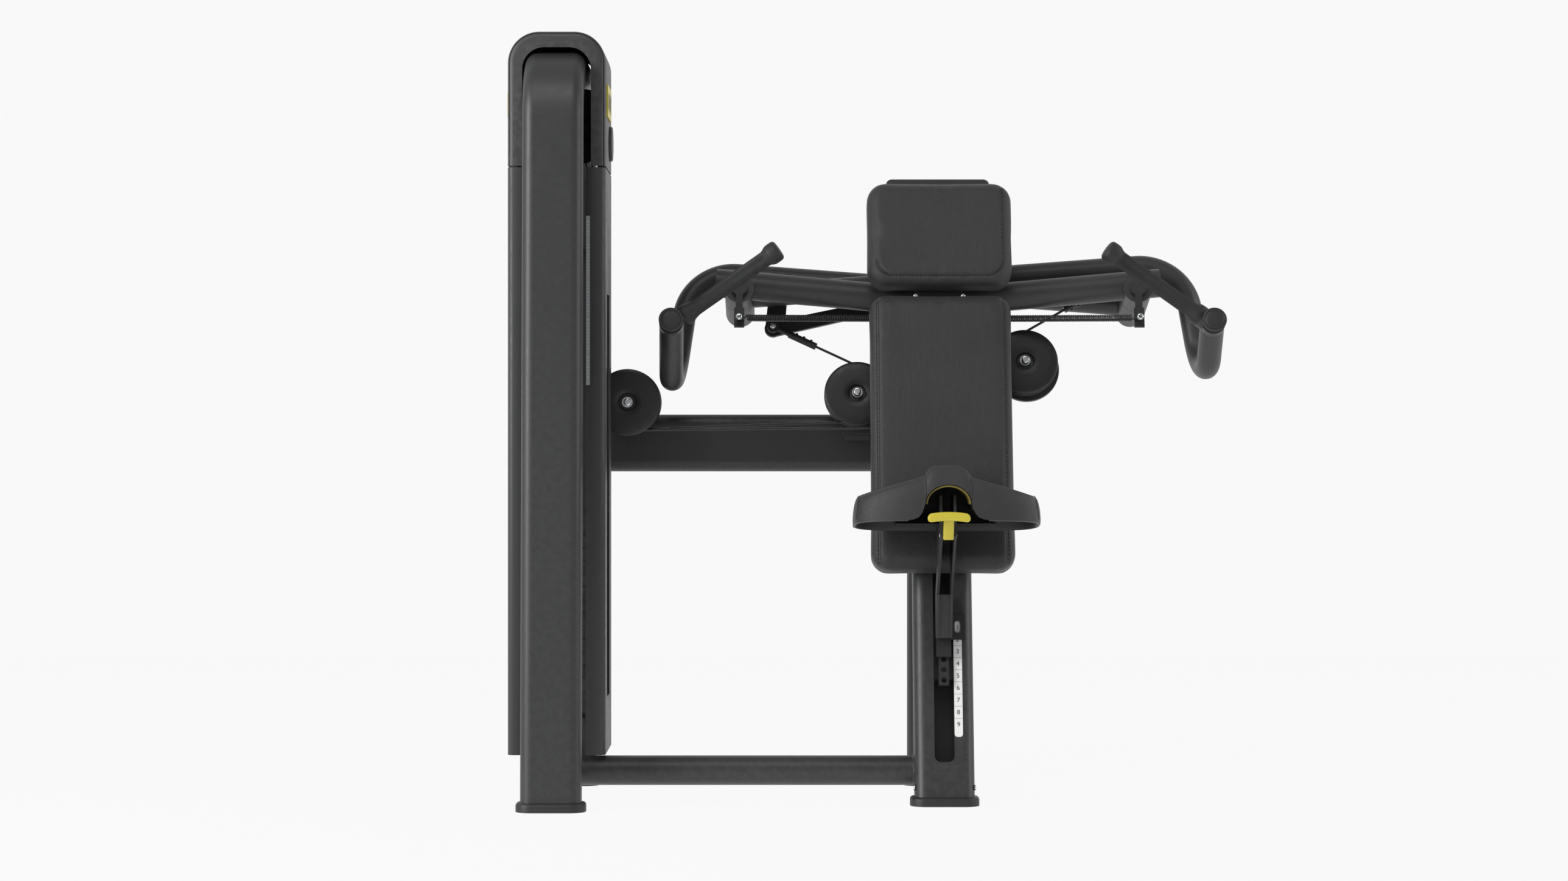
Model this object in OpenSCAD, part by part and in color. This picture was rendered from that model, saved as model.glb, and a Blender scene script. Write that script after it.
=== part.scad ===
// Shoulder press machine with a weight-stack tower.
// Millimetres. +X is the user's left, -Y is the front, +Z is up.
// The origin is on the floor, at the middle of the seat post's foot.

/* [Frame] */
// Width of the large flat-sided frame tube
tube_w = 115; // [100:1:125]
// Depth of the large frame tube
tube_d = 60; // [52:1:64]
// Corner radius of the large frame tube
tube_r = 22; // [12:1:25]
// Wall of the seat post, which is hollow
post_wall = 4; // [3:0.5:6]
// Lean of the seat post, pads and arm pivots, in degrees
lean = 15.5; // [12:0.5:18]
// Distance from the seat post to the tower's middle
tower_gap = 744; // [720:1:900]
// Distance from the seat post's foot to the rear post's middle
base_depth = 383; // [375:1:460]
// Height of the cross beam's middle
beam_z = 691; // [670:1:700]
// Diameter of the low cross tube and the rails
low_tube = 56.8; // [45:0.1:60]
// Height of the low cross tube's middle
low_z = 62; // [55:1:90]
// Height of a foot plate
foot_h = 17; // [10:1:25]
// How far a foot plate stands out from its tube
foot_lip = 8.5; // [4:0.5:14]

/* [Tower] */
// Top of the tower frame's bend
arch_z = 1443; // [1300:1:1460]
// Radius of the tower frame's bends, to the tube's middle
arch_bend = 110; // [80:1:130]
// Lean of the tower's front column, in degrees
column_lean = 2.4; // [0:0.1:4]
// How far the tower's front column stands ahead of the seat post
column_ahead = 104.5; // [95:0.5:140]
// Width of the tower covers
cover_w = 187.5; // [180:0.5:220]
// Depth of the tower covers
cover_d = 220; // [210:1:225]
// Front face of the tower covers, behind the seat post's foot
cover_front = 15; // [10:1:20]
// Wall of the tower covers
cover_wall = 4; // [2.5:0.5:6]
// Lower edge of the covers
cover_z = 93; // [92:1:120]
// Seam between the lower covers and the hood
hood_z = 1221; // [1180:1:1240]
// Outer corner radius of the hood
hood_r = 66; // [50:1:80]

/* [Press arms] */
// Distance along the lean from the floor to the pivots
press_z = 1026.4; // [980:0.1:1040]
// Half the distance between the two pivots
pivot_x = 395; // [380:1:410]
// Radius of the pivot hubs
hub_r = 29; // [26:0.5:31]
// Radius of the pivot shafts
shaft_r = 12.5; // [10:0.5:15]
// Radial clearance of the shafts and axles
run_gap = 0.05; // [0.02:0.01:0.1]
// Radius of the yoke tubes
yoke_r = 28.5; // [24:0.5:29]
// Radius of the arm tubes
arm_r = 23.5; // [20:0.5:24]
// Plane of the right arm behind the pivots' plane
right_plane = 56; // [56:1:58]
// Plane of the left arm behind the pivots' plane
left_plane = 107; // [106:1:112]
// Half the distance between the two handles' ends
reach = 525; // [500:1:600]
// How far the handles stand ahead of the pivots' plane
handle_ahead = 173; // [150:1:220]
// How far the handles hang below the pivots
handle_drop = 111; // [90:1:130]
// Radius of the rubber grip
grip_r = 15; // [13:0.5:18]
// Length of the grip
grip_len = 256; // [200:1:270]

/* [Cables] */
// Radius of a cable
cable_r = 2.5; // [2:0.25:3]
// Outer radius of the pulleys
pulley_r = 66; // [62:0.5:66.5]
// Radius at which a cable lies in its pulley
wrap_r = 55; // [50:0.5:56]
// Width of a pulley
pulley_w = 30; // [24:1:30]
// Radius of the pulley axles
axle_r = 8; // [6:0.5:9]
// Radius of a spring's coils
spring_r = 7.5; // [6:0.5:8]

/* [Weight stack] */
// Number of plates under the top plate
plates = 14; // [10:1:15]
// Number of plates the pin picks up
picked = 3; // [1:1:5]
// Thickness of a plate
plate_h = 24; // [20:1:26]
// Gap between two plates
plate_gap = 1; // [0.5:0.1:1]
// Width of a plate
plate_w = 130; // [110:1:132]
// Depth of a plate
plate_d = 165; // [140:1:168]
// Radius of the guide rods
rod_r = 9; // [8:0.5:10]
// Radius of the selector pin
pin_r = 4.5; // [4:0.5:5]

/* [Seat and back] */
// Width of the seat
seat_w = 354; // [320:1:400]
// Depth of the seat
seat_d = 198; // [165:1:200]
// Height of the seat shell's lower edge
seat_z = 521; // [505:1:535]
// Width of the back pad
back_w = 290; // [260:1:330]
// Length of the back pad
back_len = 568; // [540:1:568]
// Width of the head pad
head_w = 298; // [260:1:340]
// Length of the head pad
head_len = 228; // [200:1:260]
// Thickness of the pads
pad_t = 60; // [45:1:65]
// Thickness of the boards behind the pads
board_t = 12; // [8:1:15]
// Travel of the seat down its post
seat_travel = 190; // [150:1:200]

/* [Hidden] */
$fn = 48;
paint = "#3c3d3f";
black = "#1d1d1e";
yellow = "#d9cc2e";
chrome = "#c9c9cc";

tower_x = -tower_gap;
weld = 1;
touch_gap = 1;
hair = 0.01;
foot_w = tube_w + 2 * foot_lip;
foot_d = tube_d + 2 * foot_lip;
arch_mid = arch_z - tube_d / 2;
beam_front = base_depth - tube_d / 2;
link_z = beam_z - 26;
post_face = -tube_d / 2;
post_top = 1200;
hub_front = yoke_r + 2.5;
hub_back = left_plane + arm_r + 0.5;
boss_front = -yoke_r - 3.5;
yoke_slope = 0.0945;
yoke_mid = -20;
yoke_end = 442;
arm_rise = 0.0784;
arm_start = 10.5;
leg_bend = 100;
run_bend = 75;
handle_bend = 40;
leg_top = 80.3;
leg_foot = -195;
boss_r = 20.5;
collar_r = 21;
grip_seam = 30;
grip_dir = [-206.7, -70, 129.3];
lever_len = 67;
lever_face = boss_front - 4;
anchor = [70, 34, -42];
left_centre = [-160, 88, -185];
right_centre = [174, right_plane, -128];
left_eye = [-328.6, left_centre.y, -42.4];
right_eye = [338.5, right_plane, 32];
mid_centre = [right_centre.x - 2 * wrap_r, right_plane, -206];
tower_centre = [tower_x + 127, 275, 772];
groove_gap = 34;
top_groove_gap = 16;
top_centre = [tower_x + 26, 170, 1305];
top_yaw = 25.3;
stack_y = top_centre.y - wrap_r * cos(top_yaw);
stack_x = top_centre.x - wrap_r * sin(top_yaw);
stack_z = 190;
rods = [-58, 58];
cover_mid = tower_x + 2;
cover_left = cover_mid - cover_w / 2;
cover_right = cover_mid + cover_w / 2;
mouth_left = tower_x - tube_w / 2 - 6;
mouth_right = tower_x + tube_w / 2 + 10.5;
mouth_top = arch_z + 6;
pad_back = post_face - board_t;
seat_front = -165;
seat_mid_y = seat_front + seat_d / 2;
slot_w = 38;
carriage_z = 300;

function unit(v) = v / norm(v);
function across(d) = abs(d.z) < 0.9 ? unit(cross(d, [0, 0, 1])) : unit(cross([0, 1, 0], d));
// Direction in the XZ plane from point p to a tangent of the circle at c, passing on one side
function tangent_angle(p, c, r, side) =
    atan2(c.z - p.z, c.x - p.x) + side * asin(r / norm([c.x - p.x, c.z - p.z]));
function tangent_len(p, c, r) = sqrt(pow(norm([c.x - p.x, c.z - p.z]), 2) - r * r);
function along_xz(p, angle, dist) = p + dist * [cos(angle), 0, sin(angle)];
function press_point(p) = [p.x,
    (press_z + p.z) * sin(lean) + p.y * cos(lean),
    (press_z + p.z) * cos(lean) - p.y * sin(lean)];

// Places children in the leaning frame: Z runs up the post, Y runs straight back from it
module leaning() rotate([-lean, 0, 0]) children();

// The leaning frame with its origin between the two arm pivots
module press() leaning() translate([0, 0, press_z]) children();

// Turns Z to direction d and X to direction n, at point p
module point_to(p, d, n) {
    m = cross(d, n);
    multmatrix([[n.x, m.x, d.x, p.x], [n.y, m.y, d.y, p.y], [n.z, m.z, d.z, p.z], [0, 0, 0, 1]])
        children();
}

// Extrudes a section along straight runs and round bends; the section's X runs across the bend.
// The pieces stop a hair short of each other, and a slimmer plug joins each pair
module bent(points, radii) {
    last = len(points) - 1;
    dirs = [for (i = [0 : last - 1]) unit(points[i + 1] - points[i])];
    turn = [for (i = [1 : last - 1]) acos(dirs[i - 1] * dirs[i])];
    cut = [0, for (i = [1 : last - 1]) radii[i - 1] * tan(turn[i - 1] / 2), 0];
    for (i = [0 : last - 1]) {
        start = points[i] + (cut[i] + hair) * dirs[i];
        span = norm(points[i + 1] - points[i]) - cut[i] - cut[i + 1] - 2 * hair;
        point_to(start, dirs[i], across(dirs[i])) linear_extrude(span) children();
    }
    for (i = [1 : last - 1]) {
        normal = unit(cross(dirs[i - 1], dirs[i]));
        inward = cross(normal, dirs[i - 1]);
        middle = points[i] - cut[i] * dirs[i - 1] + radii[i - 1] * inward;
        point_to(middle, normal, -inward)
            rotate_extrude(angle = turn[i - 1], $fn = 64)
                translate([radii[i - 1], 0]) rotate(90) children();
        for (side = [0, 1]) {
            way = dirs[i - 1 + side];
            joint = points[i] + (side == 0 ? -1 : 1) * cut[i] * way;
            point_to(joint - 1.5 * way, way, across(way)) linear_extrude(3) scale(0.95)
                children();
        }
    }
}

// A rectangle with round corners
module rounded(w, d, r) {
    square([w - 2 * r, d], center = true);
    square([w, d - 2 * r], center = true);
    for (x = [-1, 1], y = [-1, 1]) translate([x * (w / 2 - r), y * (d / 2 - r)]) circle(r);
}

module tube_section() rounded(tube_w, tube_d, tube_r);

// A slab in the leaning frame, from y0 to y1, outline drawn in X and Z
module slab(y0, y1) translate([0, y1, 0]) rotate([90, 0, 0]) linear_extrude(y1 - y0) children();

// A round bar along Y in the leaning or the world frame
module bar_y(r, y0, y1) translate([0, y0, 0]) rotate([-90, 0, 0]) cylinder(h = y1 - y0, r = r);

// ---- Frame ----

module foot_plate() {
    linear_extrude(foot_h - 5) rounded(foot_w, foot_d, tube_r + foot_lip);
    translate([0, 0, foot_h - 5]) linear_extrude(5)
        rounded(foot_w - 6, foot_d - 6, tube_r + foot_lip - 3);
}

module foot_plates() color(black) {
    foot_plate();
    translate([0, base_depth, 0]) foot_plate();
    translate([tower_x, base_depth, 0]) foot_plate();
    translate([tower_x, -column_ahead, 0]) foot_plate();
}

module tower_frame() color(paint) {
    column_top = -column_ahead + arch_mid * tan(column_lean);
    foot_y = -column_ahead + foot_h * tan(column_lean);
    difference() {
        bent([[tower_x, foot_y - 2 * sin(column_lean), foot_h - 2 * cos(column_lean)],
            [tower_x, column_top, arch_mid],
            [tower_x, base_depth, arch_mid], [tower_x, base_depth, foot_h]],
            [arch_bend, arch_bend]) tube_section();
        translate([tower_x - tube_w, -column_ahead - tube_d, -tube_d])
            cube([2 * tube_w, 2 * tube_d, tube_d + foot_h]);
    }
}

// One rail under the tower, one from the seat post's foot to the rear post
module base_rails() color(paint) {
    slope_front = low_z * tan(column_lean);
    tower_front = -column_ahead + slope_front + tube_d / 2;
    translate([tower_x, 0, low_z]) bar_y(low_tube / 2, tower_front + 1.5, beam_front);
    seat_back = low_z * tan(lean) + tube_d / 2 / cos(lean);
    difference() {
        translate([0, 0, low_z]) bar_y(low_tube / 2, seat_back - 12, beam_front);
        leaning() translate([-tube_w, -tube_d, 0]) cube([2 * tube_w, 1.5 * tube_d, 2 * tube_w]);
    }
}

module cross_tube() color(paint) difference() {
    translate([tower_x, 45, low_z]) rotate([0, 90, 0])
        cylinder(h = tower_gap - tube_w / 2 + 12, r = low_tube / 2);
    translate([tower_x, 0, low_z]) bar_y(low_tube / 2, -column_ahead, beam_front);
    leaning() linear_extrude(3 * low_z) tube_section();
    translate([tower_x - 2 * tube_w, 0, 0]) cube([2 * tube_w, tube_w, 2 * tube_w]);
}

module cross_beam() color(paint) difference() {
    translate([tower_x, base_depth, beam_z]) rotate([90, 0, 90])
        linear_extrude(tower_gap) rotate(90) tube_section();
    for (x = [tower_x, 0]) translate([x, base_depth, beam_z - tube_w]) linear_extrude(2 * tube_w)
        tube_section();
}

// Short level tube that ties the seat post back to the rear post
module beam_link() color(paint) difference() {
    translate([0, link_z * tan(lean), link_z]) rotate([-90, 0, 0])
        linear_extrude(base_depth - link_z * tan(lean)) rounded(70, 56, 12);
    leaning() linear_extrude(2 * beam_z) tube_section();
    translate([0, base_depth, beam_z - tube_w]) linear_extrude(2 * tube_w) tube_section();
}

module rear_post() color(paint) {
    translate([0, base_depth, foot_h]) linear_extrude(beam_z + tube_w / 2 + 12 - foot_h)
        tube_section();
}

// Hollow leaning post, with the seat's slot in its front wall
module seat_post() color(paint) {
    difference() {
        leaning() translate([0, 0, -tube_d]) linear_extrude(post_top + tube_d) tube_section();
        translate([-tube_w, -tube_w, -2 * tube_w]) cube([2 * tube_w, 2 * tube_w, 2 * tube_w + foot_h]);
        leaning() translate([0, 0, foot_h + 20]) linear_extrude(post_top - 60)
            rounded(tube_w - 2 * post_wall, tube_d - 2 * post_wall, tube_r - post_wall);
        leaning() slab(-tube_d, 0) translate([0, 275]) rounded(slot_w, 395, 12);
    }
    for (s = [-1, 1]) press() translate([s * anchor.x - 20 - 17 * s, anchor.y - 5, anchor.z - 7])
        cube([40, 6, 14]);
}

// A tube from the post's side out to the pivot, with the pivot's boss beneath its end
module yoke(s) color(paint) difference() {
    press() union() {
        bent([[0, 0, yoke_mid], [s * yoke_end, 0, yoke_mid + yoke_slope * yoke_end]], [])
            circle(yoke_r);
        translate([s * pivot_x, 0, 0]) bar_y(hub_r, boss_front, hub_front - 1.5);
    }
    press() translate([s * pivot_x, 0, 0]) bar_y(shaft_r + run_gap, boss_front - 1, hub_front);
    leaning() linear_extrude(post_top) tube_section();
}
module left_yoke() yoke(-1);
module right_yoke() yoke(1);

// ---- Press arms; s is the handle's side, and the pivot is on the other side ----

function handle_end(s) = [s * reach, -handle_ahead, -handle_drop];
function grip_way(s) = unit([s * grip_dir.x, grip_dir.y, grip_dir.z]);

// Corner where the outward tube turns down, and where the leg turns forward
function leg_corner(s, plane) = [s * (reach - 30), plane, leg_top];
function foot_corner(s, plane) = [s * (reach + 8), plane, leg_foot];

module press_arm(s, plane) color(paint) {
    pivot = [-s * pivot_x, plane, 0];
    end = handle_end(s);
    press() difference() {
        union() {
            bent([pivot + [0, 0, arm_start], leg_corner(s, plane), foot_corner(s, plane),
                [end.x, end.y + 33, end.z], [end.x, end.y + 12, end.z]],
                [leg_bend, run_bend, handle_bend]) circle(arm_r);
            translate([pivot.x, 0, 0]) bar_y(hub_r, hub_front, hub_back);
            translate([end.x, 0, end.z]) bar_y(boss_r, end.y - 3, end.y + 45);
            point_to(end + [0, boss_r + 8, 0], grip_way(s), across(grip_way(s)))
                cylinder(h = grip_seam, r = collar_r);
        }
        translate([pivot.x, 0, 0]) bar_y(shaft_r + run_gap, hub_front - 1, hub_back + 1);
    }
}
module left_arm() press_arm(-1, left_plane);
module right_arm() press_arm(1, right_plane);

// Shaft through boss and hub, with the spring's lever on its front end
module pivot_shaft(s) color(black) press() translate([-s * pivot_x, 0, 0]) {
    bar_y(shaft_r, lever_face, hub_back + 2);
    slab(lever_face - 6, lever_face) {
        circle(shaft_r + 4);
        translate([-7, -lever_len + 22]) square([14, lever_len - 22]);
        translate([-10, -lever_len - 16]) square([20, 40]);
    }
    translate([0, 0, -lever_len]) bar_y(4.5, lever_face - 20, lever_face);
    translate([0, 0, -lever_len]) bar_y(7, lever_face - 24, lever_face - 18);
}
module left_shaft() pivot_shaft(-1);
module right_shaft() pivot_shaft(1);

// Rubber sleeve, flared at the collar and at its outer end
module grip(s) color(black) {
    start = handle_end(s) + [0, boss_r + 8, 0] + (grip_seam + 0.3) * grip_way(s);
    press() point_to(start, grip_way(s), across(grip_way(s))) rotate_extrude()
        polygon([[0, 0], [collar_r, 0], [collar_r, 7], [grip_r + 1, 26], [grip_r, 34],
            [grip_r, grip_len - 58], [grip_r + 4, grip_len - 52], [collar_r, grip_len - 48],
            [collar_r, grip_len - 36], [collar_r - 3, grip_len - 30], [0, grip_len - 30]]);
}
module left_grip() grip(-1);
module right_grip() grip(1);

module end_cap(s) color(black) {
    end = handle_end(s);
    press() translate([end.x, end.y - 3.3, end.z]) rotate([90, 0, 0]) {
        cylinder(h = 2, r = boss_r);
        translate([0, 0, 2]) cylinder(h = 2, r1 = boss_r, r2 = boss_r - 3);
    }
}
module left_end_cap() end_cap(-1);
module right_end_cap() end_cap(1);

// Forked plate under the left arm, with the cable's eye at its lowest corner
module left_cable_plate() color(black) press() difference() {
    slab(left_plane - 9, left_plane - 1) {
        translate([left_eye.x, left_eye.z]) circle(17);
        polygon([[left_eye.x - 5, 62], [left_eye.x + 32, 60], [left_eye.x + 25, left_eye.z + 20],
            [-45, 34], [-45, 8], [left_eye.x + 4, left_eye.z - 16], [left_eye.x - 16, left_eye.z]]);
    }
    translate([left_eye.x, 0, left_eye.z]) bar_y(5, left_plane - 20, left_plane + 10);
    arm_tube_clear(-1, left_plane);
}

// Small plate under the right arm, which carries the other cable's eye
module right_cable_plate() color(black) press() difference() {
    slab(right_plane + 8, right_plane + 14) union() {
        translate([right_eye.x, right_eye.z]) circle(14);
        translate([right_eye.x - 14, right_eye.z]) square([28, 36]);
    }
    translate([right_eye.x, 0, right_eye.z]) bar_y(5, right_plane, right_plane + 30);
    arm_tube_clear(1, right_plane);
}

// The straight outward stretch of an arm's tube
module arm_tube_clear(s, plane)
    bent([[-s * pivot_x, plane, arm_start], leg_corner(s, plane)], []) circle(arm_r);

// Rod end, adjuster sleeve and set screws, in line with the cable
module cable_end(eye, ring, angle, pin_y0, pin_y1) color(chrome) press() {
    translate([eye.x, 0, eye.z]) bar_y(ring, eye.y - 5, eye.y + 5);
    translate([eye.x, 0, eye.z]) bar_y(4.9, pin_y0, pin_y1);
    way = [cos(angle), 0, sin(angle)];
    point_to(eye + 8 * way, way, [0, 1, 0]) {
        cylinder(h = 32, r = 4.5);
        translate([0, 0, 28]) cylinder(h = 60, r = 7);
        for (i = [0 : 2]) translate([0, 0, 42 + 16 * i]) rotate([0, 90, 90])
            cylinder(h = 9, r = 2.5);
    }
}
left_angle = tangent_angle(left_eye, left_centre, wrap_r, 1);
right_angle = tangent_angle(right_eye, right_centre, wrap_r, -1);
module left_cable_end() cable_end(left_eye, 12, left_angle, left_eye.y - 6, left_plane);
module right_cable_end() cable_end(right_eye, 10, right_angle, right_eye.y - 6, right_plane + 15);

module arm_cable(eye, centre, angle) color(black) press() {
    way = [cos(angle), 0, sin(angle)];
    point_to(eye + 98 * way, way, [0, 1, 0])
        cylinder(h = tangent_len(eye, centre, wrap_r) - 98, r = cable_r);
}
module left_arm_cable() arm_cable(left_eye, left_centre, left_angle);
module right_arm_cable() arm_cable(right_eye, right_centre, right_angle);

// Close-wound spring from the lever's bolt to the anchor behind the back pad
module spring(s) color(black) press() {
    bolt = [s * pivot_x, lever_face - 13, -lever_len];
    hook = [s * anchor.x, anchor.y, anchor.z];
    way = unit(hook - bolt);
    point_to(bolt + 8 * way, way, across(way)) {
        cylinder(h = norm(hook - bolt) - 14, r = 2);
        translate([0, 0, 6]) cylinder(h = norm(hook - bolt) - 30, r = spring_r);
    }
}
module left_spring() spring(-1);
module right_spring() spring(1);

// ---- Pulleys, cables and brackets ----

// Grooved wheel about Y, from -w/2 to w/2, with a recess round the bolt
module sheave(w, grooves, groove_w) {
    floor_r = wrap_r - cable_r - 0.4;
    rotate([-90, 0, 0]) rotate_extrude($fn = 96) difference() {
        translate([axle_r + run_gap, -w / 2]) square([pulley_r - axle_r - run_gap, w]);
        for (g = grooves) translate([0, g])
            polygon([[floor_r, -cable_r], [pulley_r + 1, -groove_w / 2 - 0.5],
                [pulley_r + 1, groove_w / 2 + 0.5], [floor_r, cable_r]]);
        translate([0, -w / 2 - 1]) square([19, 6]);
    }
}

module left_pulley() color(black) press() translate(left_centre) sheave(pulley_w, [0], 20);
module right_pulley() color(black) press() translate(right_centre) sheave(pulley_w, [0], 20);
module centre_pulley() color(black) press() translate(mid_centre) sheave(pulley_w, [0], 20);
module tower_pulley() color(black) translate(tower_centre)
    sheave(groove_gap + pulley_w - 2, [-groove_gap / 2, groove_gap / 2], 20);
module top_pulley() color(black) translate(top_centre) rotate(-90 - top_yaw)
    sheave(44, [-top_groove_gap / 2, top_groove_gap / 2], 11);

// A pulley's bolt with its head in the recess and its stem in the bracket
module axle(w, back) {
    bar_y(axle_r, -w / 2 + 1, back);
    bar_y(axle_r + 2.5, -w / 2 - 4, -w / 2 + 4.7);
}

module pulley_axles() color(chrome) {
    press() {
        translate(left_centre) axle(pulley_w, pulley_w / 2 + 2 + 8);
        for (c = [right_centre, mid_centre]) translate(c) axle(pulley_w, pulley_w / 2 + 2 + 8);
    }
    translate(tower_centre) axle(groove_gap + pulley_w - 2, groove_gap / 2 + pulley_w / 2 + 9);
    translate(top_centre) rotate(-90 - top_yaw) bar_y(axle_r, -30, 30);
}

// Plates behind the three middle pulleys, each stood off from the beam or its link
module pulley_brackets() color(paint) {
    back = pulley_w / 2 + 2;
    press() difference() {
        slab(left_centre.y + back, left_centre.y + back + 8)
            translate([left_centre.x, left_centre.z]) {
                circle(30);
                translate([-30, -75]) square([60, 75]);
            }
        translate(left_centre) bar_y(axle_r, 0, 40);
    }
    web_y = press_point([0, left_centre.y + back + 4, left_centre.z - 55]).y;
    translate([left_centre.x - 25, web_y, beam_z + 5]) cube([50, beam_front - web_y, 36]);
    lower_way = [right_centre.x - mid_centre.x, right_centre.z - mid_centre.z];
    press() difference() {
        slab(right_plane + back, right_plane + back + 8) {
            translate([mid_centre.x, mid_centre.z]) circle(pulley_r - 12);
            translate([right_centre.x + 4, right_centre.z - 8]) circle(pulley_r);
            translate([mid_centre.x, mid_centre.z])
                rotate(atan2(lower_way.y, lower_way.x))
                    translate([0, -40]) square([norm(lower_way), 80]);
        }
        for (c = [right_centre, mid_centre]) translate(c) bar_y(axle_r, 0, 40);
    }
    link_y = press_point([0, right_plane + back + 4, mid_centre.z - 30]).y;
    translate([mid_centre.x - 20, link_y, beam_z + 5]) cube([60, beam_front - link_y, 40]);
}

module tower_bracket() color(paint) {
    back = groove_gap / 2 + pulley_w / 2 + 1;
    difference() {
        translate([tower_centre.x, 0, 0]) slab(tower_centre.y + back, tower_centre.y + back + 8) {
            translate([0, tower_centre.z]) circle(22);
            translate([-22, beam_z + 10]) square([44, tower_centre.z - beam_z - 10]);
            translate([-7, beam_z + 6]) square([14, 20]);
            translate([0, beam_z + 6]) circle(7);
        }
        translate(tower_centre) bar_y(axle_r, 0, 80);
    }
    plate_back = tower_centre.y + back + 8;
    translate([tower_centre.x - 20, plate_back - weld, beam_z + 12])
        cube([40, beam_front - plate_back + weld, 34]);
}

module top_bracket() color(paint) translate(top_centre) rotate(-90 - top_yaw) difference() {
    roof = arch_z - tube_d - top_centre.z;
    union() {
        for (s = [-1, 1]) translate([-20, s * 27 - 3, -18]) cube([40, 6, roof + 18]);
        translate([-20, -30, roof - 1.5]) cube([40, 60, 1.5]);
    }
    bar_y(axle_r, -40, 40);
}

// A round path of cable: from angle a0 to a1 round a pulley whose axle is Y
module wrap(a0, a1) rotate([90, 0, 0]) rotate([0, 0, a0])
    rotate_extrude(angle = a1 - a0, $fn = 96) translate([wrap_r, 0]) circle(cable_r, $fn = 16);

// A straight length of cable, whose core runs on into the turns at both ends
module cable(p, q) point_to(p, unit(q - p), across(unit(q - p))) {
    translate([0, 0, 0.4]) cylinder(h = norm(q - p) - 0.8, r = cable_r, $fn = 16);
    translate([0, 0, -1]) cylinder(h = norm(q - p) + 2, r = 0.85 * cable_r, $fn = 16);
}

// From a pulley's lowest point to the tower pulley, up to the top pulley and over it
module cable_to_stack(leave, groove) {
    tower_groove = [tower_centre.x, tower_centre.y + groove * groove_gap / 2, tower_centre.z];
    low = tower_groove - [0, 0, wrap_r];
    side = tower_groove - [wrap_r, 0, 0];
    offset_top = groove * top_groove_gap / 2;
    rear = top_centre + wrap_r * [sin(top_yaw), cos(top_yaw), 0]
        + offset_top * [-cos(top_yaw), sin(top_yaw), 0];
    cable(leave, low);
    translate(tower_groove) wrap(180, 270);
    cable(side, rear);
    translate(top_centre) rotate(-90 - top_yaw) translate([0, -offset_top, 0]) wrap(0, 180);
}

module left_cable_run() color(black) {
    press() translate(left_centre) wrap(-90, left_angle + 90);
    cable_to_stack(press_point(left_centre - [0, 0, wrap_r]), 1);
}

module right_cable_run() color(black) {
    press() translate(right_centre) wrap(right_angle + 270, 180);
    press() cable(right_centre - [wrap_r, 0, 0], mid_centre + [wrap_r, 0, 0]);
    press() translate(mid_centre) wrap(-90, 0);
    cable_to_stack(press_point(mid_centre - [0, 0, wrap_r]), -1);
}

// ---- Weight stack ----

stack_top = stack_z + plates * (plate_h + plate_gap);
pin_z = stack_top - picked * (plate_h + plate_gap) + plate_h / 2;
stem_r = 11;

module at_stack(z) translate([stack_x, stack_y, z]) children();

module stack_plate(with_pin_hole) difference() {
    translate([0, 0, plate_h / 2]) cube([plate_w, plate_d, plate_h], center = true);
    for (y = rods) translate([0, y, -1]) cylinder(h = plate_h + 2, r = rod_r + touch_gap);
    translate([0, 0, -1]) cylinder(h = plate_h + 2, r = stem_r + touch_gap);
    if (with_pin_hole) translate([0, 0, plate_h / 2]) rotate([0, 90, 0])
        cylinder(h = plate_w, r = pin_r + touch_gap);
}

module top_plate() color(black) at_stack(stack_top) difference() {
    union() {
        translate([0, 0, plate_h / 2]) cube([plate_w, plate_d, plate_h], center = true);
        translate([0, 0, plate_h]) cylinder(h = 30, r = 24);
    }
    for (y = rods) translate([0, y, -1]) cylinder(h = plate_h + 2, r = rod_r + touch_gap);
    translate([0, 0, -1]) cylinder(h = plate_h + 32, r = stem_r + run_gap);
}

module lifted_plates() color(black)
    for (i = [1 : picked]) at_stack(stack_top - i * (plate_h + plate_gap)) stack_plate(true);

module resting_plates() color(black)
    for (i = [picked + 1 : plates]) at_stack(stack_top - i * (plate_h + plate_gap))
        stack_plate(true);

module selector_stem() color(chrome) difference() {
    at_stack(stack_z + 2) cylinder(h = stack_top - stack_z + plate_h + 60, r = stem_r);
    for (i = [1 : plates]) at_stack(stack_top - i * (plate_h + plate_gap) + plate_h / 2)
        translate([-20, 0, 0]) rotate([0, 90, 0]) cylinder(h = 40, r = pin_r + touch_gap);
}

module selector_pin() color(yellow) at_stack(pin_z) {
    translate([-9, 0, 0]) rotate([0, 90, 0]) cylinder(h = plate_w / 2 + 16, r = pin_r);
    translate([plate_w / 2 + 4, 0, 0]) rotate([0, 90, 0]) cylinder(h = 21, r = 13);
}

module guide_rods() color(chrome) for (y = rods) at_stack(stack_z - 30)
    translate([0, y, 0]) cylinder(h = 1130 - stack_z, r = rod_r);

module stack_base() color(paint) difference() {
    union() {
        at_stack(stack_z - 40) translate([-plate_w / 2, -plate_d / 2, 0])
            cube([plate_w, plate_d, 12]);
        for (y = rods) at_stack(stack_z - 29) translate([0, y, 0]) cylinder(h = 27, r = 22);
        translate([tower_x - 30, stack_y - 30, low_z])
            cube([60, 60, stack_z - 40 - low_z + weld]);
    }
    for (y = rods) at_stack(stack_z - 30) translate([0, y, 0]) cylinder(h = 60, r = rod_r);
    translate([tower_x, 0, low_z]) bar_y(low_tube / 2, -column_ahead, beam_front);
}

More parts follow.
